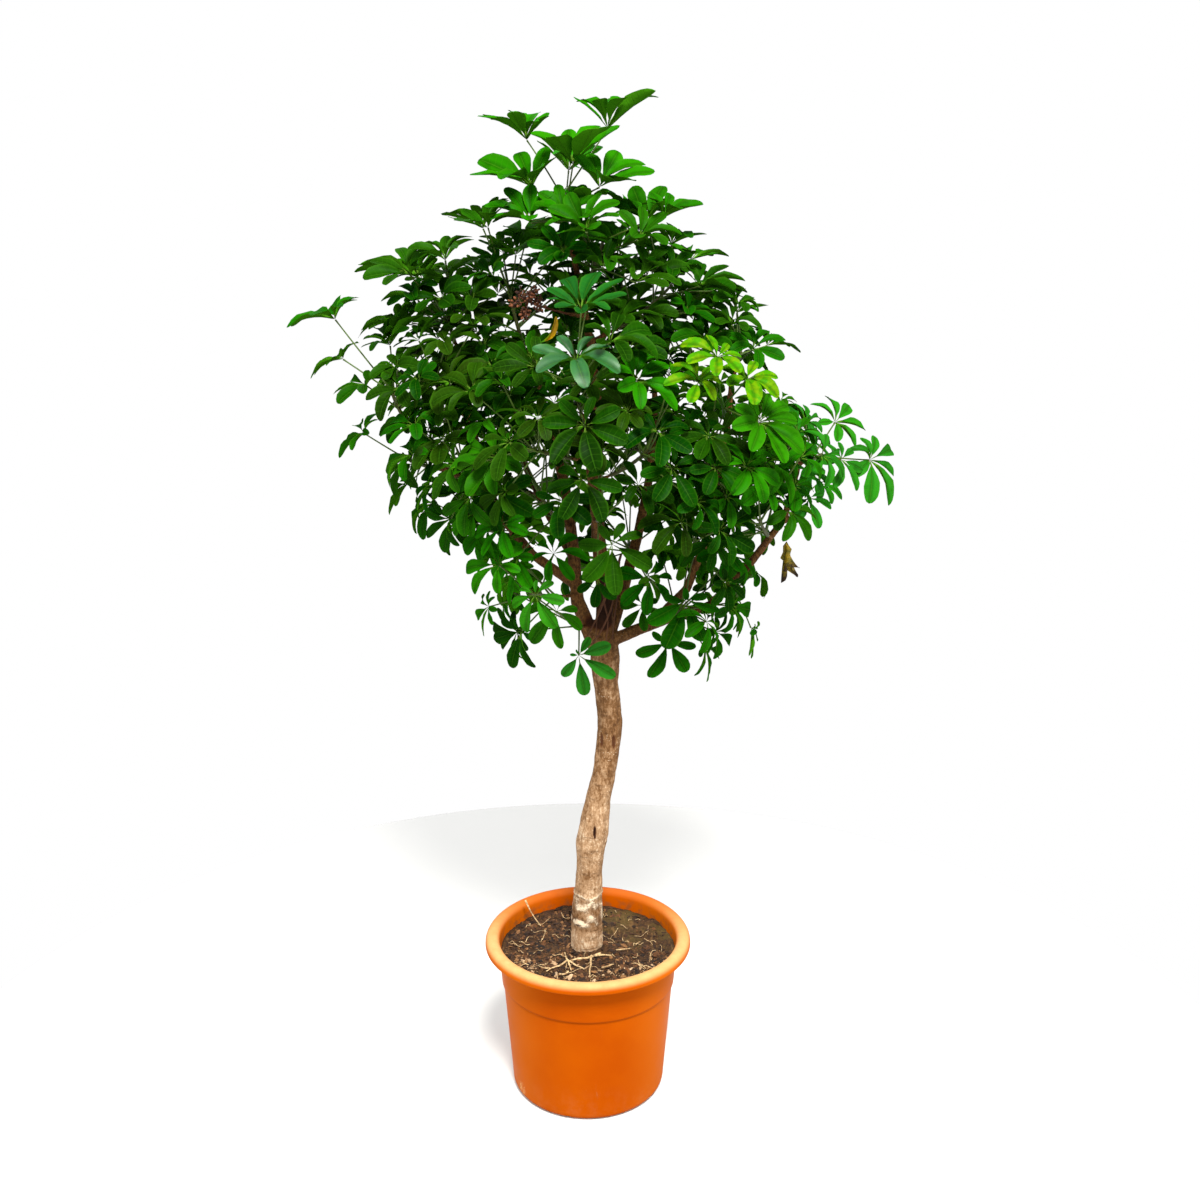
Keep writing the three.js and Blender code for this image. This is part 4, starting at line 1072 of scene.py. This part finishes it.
def how_far_out(spot):
    """0 in the middle of the crown and 1 at its outline or beyond, at the spot's height."""
    middle, half = crown_half(spot[2])
    return min(1.0, hypot((spot[0] - middle) / half, spot[1] / (half * CROWN_DEPTH)))


def inner_leaves(stem, hubs, draw):
    """More leaves along a stem, where the crown still has room for them."""
    found = []
    for i in range(INNER_LEAVES * TRIES):
        if len(found) == INNER_LEAVES:
            break
        share = draw.uniform(0.05, 0.95)
        root = on_stem(stem, share)
        grow = unit(on_stem(stem, min(share + 0.1, 1)) - on_stem(stem, max(share - 0.1, 0)))
        side = unit(np.cross(grow, (0.3, 0.2, 1)))
        turn = GOLDEN_TURN * i + draw.uniform(-0.4, 0.4)
        spread = radians(80 - 35 * share + draw.uniform(-12, 12))
        out = grow * cos(spread) + swung(side, grow, turn) * sin(spread)
        hub = root + out * draw.uniform(0.058, 0.118)
        x, y, z = hub
        from_spray = hub - SPRAY_MIDDLE
        if (not (CROWN[0, 0] + 0.03 < z < INNER_TOP and INNER_SIDES[0] < x < INNER_SIDES[1])
                or how_far_out(hub) >= INNER_SHARE
                or min(np.linalg.norm(hubs - hub, axis=1)) < CLEAR_OF_OTHERS
                or (abs(x - CROWN_MIDDLE[0]) < OPEN_HALF and y < 0.03 and z < OPEN_TOP)
                or (hypot(from_spray[0], from_spray[2]) < SPRAY_ROOM
                    and from_spray[1] < 0.02)):
            continue
        wander = draw.uniform(-0.35, 0.35, 3)
        normal = unit(LIGHT + unit(hub - CROWN_MIDDLE) * FACE_OUTWARD + out * FACE_ALONG + wander)
        if np.dot(normal, out) < 0.1:
            continue
        level = np.clip((z - CROWN_LOW) / (CROWN_HIGH - CROWN_LOW), 0, 1)
        fall, cup = (foot + (top - foot) * level for foot, top in (SAG, CUP))
        reach, upright = draw.uniform(0.048, 0.072), max(normal[2], 0)
        height = reach * (cup - fall * upright)
        shoulder = reach * (SHOULDER_AT * cup + 0.045 - fall * 0.65 * upright)
        found.append({
            "hub": hub, "root": root, "normal": normal, "ahead": flattened(out, normal),
            "reach": np.array((reach * 0.82 * (1 - 0.2 * fall), reach * 0.16, 0)),
            "height": np.array((height, 0, 0)), "shoulder": np.array((shoulder, 0, 0))})
        hubs = np.vstack((hubs, hub))
    return found, hubs


def inside_frame(spot):
    return all(low + FRAME_MARGINS[0] < value < high - FRAME_MARGINS[1]
               for low, value, high in zip(cad_low, spot, cad_high))


def grow_fan(sprig, fan, draw, fresh, width=(0.76, 1.02), fold=(0.02, 0.15), twist=0.4, most=9):
    """A leaf's stalk, and its leaflets round the stalk's end."""
    hub, root, normal, ahead = (fan[key] for key in ("hub", "root", "normal", "ahead"))
    chord = hub - normal * 0.0014 - root
    length = np.linalg.norm(chord)
    sway = unit(np.cross(chord, (0.2, 0.1, 1))) * draw.uniform(-0.03, 0.03) * length
    lift = np.array((0, 0, draw.uniform(-0.01, 0.035))) * length
    spots, radii = [], []
    for share in (-0.02, 0.06, 0.2, 0.38, 0.56, 0.74, 0.9, 0.97, 1.0):
        arch_share = sin(pi * min(max(share, 0), 1))
        spots.append(root + chord * share + (sway + lift) * arch_share)
        swelling = 0.55 * exp(-(share / 0.07) ** 2) + 0.3 * exp(-((1 - share) / 0.05) ** 2)
        radii.append(STALK_RADIUS * (1.12 - 0.25 * share + swelling))
    sprig.line(spots, radii, tone=draw.uniform(0, 0.35), fresh=fresh)
    leaflets = min(most, int(draw.choice((7, 8, 8, 9))) if fan["reach"][0] > 0.052 else 7)
    # The tone is scaled by how lit the leaf is, so leaves deep in the crown are painted darker, and
    # more of them dark olive: painted shade.
    tone, first = draw.uniform(0, 1) ** 1.6 * fan["lit"], draw.uniform(-0.18, 0.18)
    tone = fan.get("tone", tone)
    olive = 0.0 if "tone" in fan else draw.uniform(0, 1) ** 1.5 * (1.3 - fan["lit"])
    for k in range(leaflets):
        turn = (k - (leaflets - 1) / 2) * 2 * pi / leaflets * 0.96 + first
        turn += draw.uniform(-0.1, 0.1)
        flat = swung(ahead, normal, turn)
        size = draw.uniform(0.96, 1.1)
        height = (round_leaf(fan["height"], turn) + draw.normal(0, 0.05) * fan["reach"][0]) * size
        tip = flat * round_leaf(fan["reach"], turn) * size + normal * height
        while not inside_frame(hub + tip):
            tip = tip * 0.94
            height *= 0.94
        reach = np.linalg.norm(tip)
        bow = (round_leaf(fan["shoulder"], turn) * size - SHOULDER_AT * height) / BOW_THERE
        bow = np.clip(bow, -0.02 * reach, 0.3 * reach)
        forward = tip / reach
        face = unit(swung(flattened(normal, forward), forward, draw.uniform(-twist, twist)))
        sprig.bear(hub - normal * 0.0006, forward, face, reach * draw.uniform(*width), reach, bow,
                   fold=draw.uniform(*fold), tone=tone, olive=olive,
                   fresh=min(1.0, fresh + draw.uniform(0, 0.12)), phase=draw.uniform(0, 6.28))


leaf = Finish("glossy_leaf", 0.0)
LEAF_DARK, LEAF_YOUNG, LEAF_VEIN = paint(0, 15, 0), paint(46, 100, 2), paint(48, 92, 12)
along, across, tone, fresh, olive, beneath = (
    leaf.attribute(name) for name in ("along", "across", "tone", "fresh", "olive", "under"))
mottling, waviness = leaf.noise(70, 4, 0.6), leaf.noise(48, 2)
young, from_rib = fresh.step(0.72, 1.0), abs(across)
side_veins = ((along * 9 - from_rib * 0.62) * tau).maths("SINE").step(0.86, 1.0)
side_veins = side_veins * from_rib.step(1.0, 0.7) * along.step(0.2, 0.3)
midrib = from_rib.step(0.1, 0.03)
edge = from_rib.step(0.74, 1.0) * along.step(0.2, 0.3)
# Undersides are paler: partly their own colour, partly painted light, as little lamp light reaches
# them.
paler_underside_and_light = leaf.coats(paint(54, 108, 12), (midrib * 0.6 + side_veins * 0.3, LEAF_VEIN),
                         (young * 0.8, LEAF_YOUNG))
# Darker green at low tones and with olive is painted shade deep in the crown; bluish green at high
# tones is a painted sky reflection; the brighter green after it is partly young growth, partly painted
# light.
shade = leaf.coats(
    LEAF_DARK, ((tone * 0.7 + mottling * 0.5 - 0.15).maths("ADD", 0, clamp=True), paint(0, 60, 0)),
    (tone.step(0.72, 0.8), paint(26, 64, 32)), ((fresh * 1.1).maths("MINIMUM", 1), paint(30, 108, 0)),
    (olive * 0.5, paint(32, 42, 4)), (tone.step(1.4, 1.6), paint(196, 150, 16)),
    (young, LEAF_YOUNG), (young * mottling.step(0.45, 0.62) * 0.6, paint(88, 112, 4)),
    # Darker alongside the midrib: painted shade in the leaflet's fold.
    (from_rib.step(0.5, 0.05) * 0.4, LEAF_DARK), (waviness.step(0.5, 0.75) * 0.35, LEAF_DARK),
    (side_veins * 0.13 + edge * mottling * 0.5, LEAF_VEIN), (midrib * 0.25, LEAF_VEIN),
    (along.step(0.24, 0.15), paint(66, 92, 26)), (beneath * 0.8, paler_underside_and_light))
leaf.shader.inputs["Coat Roughness"].default_value = 0.45
leaf.feed(leaf.shader.inputs["Coat Weight"], (1 - beneath) * (0.02 + 0.3 * tone.step(0.96, 1.0)))
leaf.set(shade, 0.3 + 0.1 * mottling + 0.22 * beneath,
         waviness * 1.6 + mottling * 0.2 - midrib * 0.5 - side_veins * 0.25, 0.0008)

stalk = Finish("green_stalk", 0.2)
tone, fresh = stalk.attribute("tone"), stalk.attribute("fresh")
stalk_noise = stalk.noise(90, 3)
shade = stalk.coats(paint(66, 90, 24), (tone + stalk_noise * 0.3, paint(36, 52, 16)),
                    (tone.step(0.6, 1.0), paint(74, 56, 28)), (fresh.step(0.7, 1.0) * 0.7, LEAF_YOUNG))
stalk.set(shade, 0.5, stalk_noise, 0.0003)

leaflet = leaflet_blade()
wood_spots = spots[::7]
shoots = {node: read_shoot(node) for node in sorted(frame["nodes"]) if node.startswith("shoot_")}
hubs = np.array([fan["hub"] for fans, rings in shoots.values() for fan in fans])
draw = np.random.default_rng(21)
for node, (fans, rings) in shoots.items():
    stem = stem_line(rings, fans)
    young = node == "shoot_youngRight"
    more, hubs = ([], hubs) if young else inner_leaves(stem, hubs, draw)
    first = stem[0] - unit(on_stem(stem, 0.08) - stem[0]) * INTO_TWIG
    path = [first] + [on_stem(stem, share) for share in np.linspace(0, 1, 12)]
    radii = [STEM_RADII[0] * 0.96] + [STEM_RADII[0] + (STEM_RADII[1] - STEM_RADII[0]) * share
                                      for share in np.linspace(0, 1, 12)]
    radii[-1] *= 0.6
    leafy = Sprig()
    leafy.line(path, radii, tone=0.15 if young else 0.75, fresh=young)
    shoot_sky_light = draw.uniform(0, 0.35)
    for fan in fans + more:
        # Leaves are painted lighter towards the crown's outside, top and foot, at the bright places
        # and in dappled patches, and darker deep inside: painted light and shade. Leaves that face the
        # sky are painted a brighter green as well.
        hub, facing_sky = fan["hub"], max(0.0, fan["normal"][2])
        middle, half = crown_half(hub[2])
        sideways = min(1.0, abs(hub[0] - middle) / half)
        open_air = how_far_out(hub) ** 3 * (0.04 + 0.96 * sideways ** 1.5)
        fan["lit"] = 0.1 + 0.9 * max(open_air, smooth_step(hub[2], *HIGH_LEAVES),
                                     0.75 * smooth_step(-hub[2], *LOW_LEAVES))
        fresh = (shoot_sky_light * facing_sky + draw.uniform(0, 0.3)) * fan["lit"]
        fresh += 0.3 * smooth_step(hub[0], *PALE_RIGHT)
        bright = any(dist(hub, place) < reach for place, reach in BRIGHT_PLACES)
        fresh = min(0.7, fresh + 0.35 * bright)
        dapple = smooth_step(noise.noise(Vector(hub) * DAPPLE_SCALE), 0.08, 0.32)
        fan["lit"] = max(fan["lit"], 0.75 * bright, 0.6 * dapple)
        if hub[0] > FAR_RIGHT:
            fan["tone"] = 0.76
            fan["normal"] = unit(fan["normal"] + TURNED_FORWARD)
            fan["ahead"] = flattened(fan["ahead"], fan["normal"])
        if young:
            fresh = 0.95 if hub[2] > YOUNG_FROM else 0.6
        for place, bluish in BLUISH_LEAVES:
            if dist(hub, place) < SAME_LEAF:
                fan["tone"] = bluish
        if dist(hub, ACROSS_TRUNK) < SAME_LEAF:
            fan["ahead"] = flattened(ACROSS_AHEAD, fan["normal"])
            fan["reach"], fan["lit"], fresh = fan["reach"] * 1.25, 0.8, 0.32
        if dist(hub, SMALL_LEAF) < SAME_LEAF:
            for form in ("reach", "height", "shoulder"):
                fan[form] = fan[form] * SMALL_SHARE
        grow_fan(leafy, fan, draw, fresh)
    if node == "shoot_frontTop":
        base, tip = TURNED
        leafy.line(np.linspace(on_stem(stem, 0.7), base, 6), [STALK_RADIUS * 0.8] * 6, tone=0.1)
        forward, size = unit(np.subtract(tip, base)), dist(base, tip)
        face = unit(np.cross(forward, (0, -0.5, 0.8)))
        leafy.bear(base, forward, face, size * 0.5, size, size * 0.2, fold=0.15, tone=2.0)
    label = "".join("_" + letter.lower() if letter.isupper() else letter for letter in node)
    piece = leafy.grow("leafy_" + label, stalk.material, leaf.material, leaflet, 0.012)
    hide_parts(node)
    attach(piece, "root")


# ---- dead leaf -------------------------------
# A withered leaf under the right limb that has dried on the plant: narrow, rolled, yellow-brown
# leaflets with dark tips on a short limp stalk.
withered = Finish("withered_leaf", 0.2)
blotches = withered.noise(120, 4, 0.65)
shade = withered.coats(
    paint(150, 122, 18), (blotches.step(0.4, 0.62), paint(88, 84, 20)),
    (abs(withered.attribute("across")).step(0.5, 1.0) * 0.4, paint(136, 122, 56)),
    ((withered.attribute("along") + blotches * 0.3).step(0.75, 1.05), paint(38, 24, 13)))
withered.set(shade, 0.7, blotches, 0.0008)

limp = Sprig()
for fan in read_shoot("dead_leaf")[0]:
    fan["lit"], fan["reach"] = 1, fan["reach"] * 0.5
    grow_fan(limp, fan, draw, 0.0, width=(0.3, 0.5), fold=(0.16, 0.3), twist=0.9, most=4)
dead_leaf = limp.grow("withered_leaf", withered.material, withered.material, leaflet, 0.05)
bpy.data.objects.remove(leaflet)
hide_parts("dead_leaf")
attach(dead_leaf, "root")


# ---- dried spray -----------------------------
# What is left of a flower spray: reddish brown arms round the end of a twig of its own, each with
# small dried buds crowded on short stalks.
SPRAY_STALK, ARM_RADIUS = 0.0018, 0.0011
BUDS_ON_ARM = 17
BUD_PROFILE = [(0, -0.5), (0.34, -0.3), (0.46, 0.05), (0.28, 0.38), (0, 0.5)]
BUD_WIDTHS = (0.003, 0.0054)

russet = Finish("dried_russet", 0.25)
speckle = russet.noise(240, 4, 0.7)
tone = russet.attribute("tone")
shade = russet.coats(paint(30, 12, 6),
                     ((speckle * 0.7 + tone * 0.5).step(0.35, 0.8), paint(88, 48, 24)))
russet.set(shade, 0.8, speckle, 0.0006)

bud = turned("bud", BUD_PROFILE, 6)
spray_mesh = merged_copy("dried_spray", "spray_reading")
groups = grouped(as_arrays(spray_mesh.data)[0], 0.0085)
bpy.data.objects.remove(spray_mesh)
hub = np.mean(max(groups, key=len), axis=0)
arm_ends = [np.mean(group, axis=0) for group in groups if 8 < len(group) < 40]
stalk_spots = [np.mean(group, axis=0) for group in groups if len(group) < 8]
stalk_spots.sort(key=lambda spot: -np.linalg.norm(spot - hub))
spray = Sprig()
base = stalk_spots[0] + unit(stalk_spots[0] - hub) * INTO_TWIG
stalk_path = rounded_path([base, *stalk_spots, hub], 4)
spray.line(stalk_path, [SPRAY_STALK] * len(stalk_path), tone=0.6)
for arm_end in arm_ends:
    chord = arm_end - hub
    length = np.linalg.norm(chord)
    side = unit(np.cross(chord, (0.1, 0.3, 1)))
    bow = side * draw.uniform(-0.1, 0.1) * length
    arm = [hub + chord * s + bow * sin(pi * s) for s in np.linspace(0, 1, 7)]
    spray.line(arm, [ARM_RADIUS * (1.15 - 0.4 * s) for s in np.linspace(0, 1, 7)], tone=0.5)
    for i in range(BUDS_ON_ARM):
        share = 0.4 + 0.6 * i / (BUDS_ON_ARM - 1)
        start = hub + chord * share + bow * sin(pi * share)
        out = unit(swung(side, unit(chord), GOLDEN_TURN * i) + unit(chord) * (0.3 + share ** 4))
        width = draw.uniform(*BUD_WIDTHS)
        end = start + out * draw.uniform(0.0028, 0.0062)
        spray.line([start, end], [ARM_RADIUS * 0.55, ARM_RADIUS * 0.45], tone=0.6)
        lie = Vector((0, 0, 1)).rotation_difference(Vector(out)).to_euler()
        spray.point(end + out * width * 0.45, bears=1, turn=tuple(lie),
                    size=(width, width, width * 1.2), tone=draw.uniform(0, 1))
dried_spray = spray.grow("dried_flower_spray", russet.material, russet.material, bud)
bpy.data.objects.remove(bud)
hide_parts("dried_spray")
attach(dried_spray, "root")
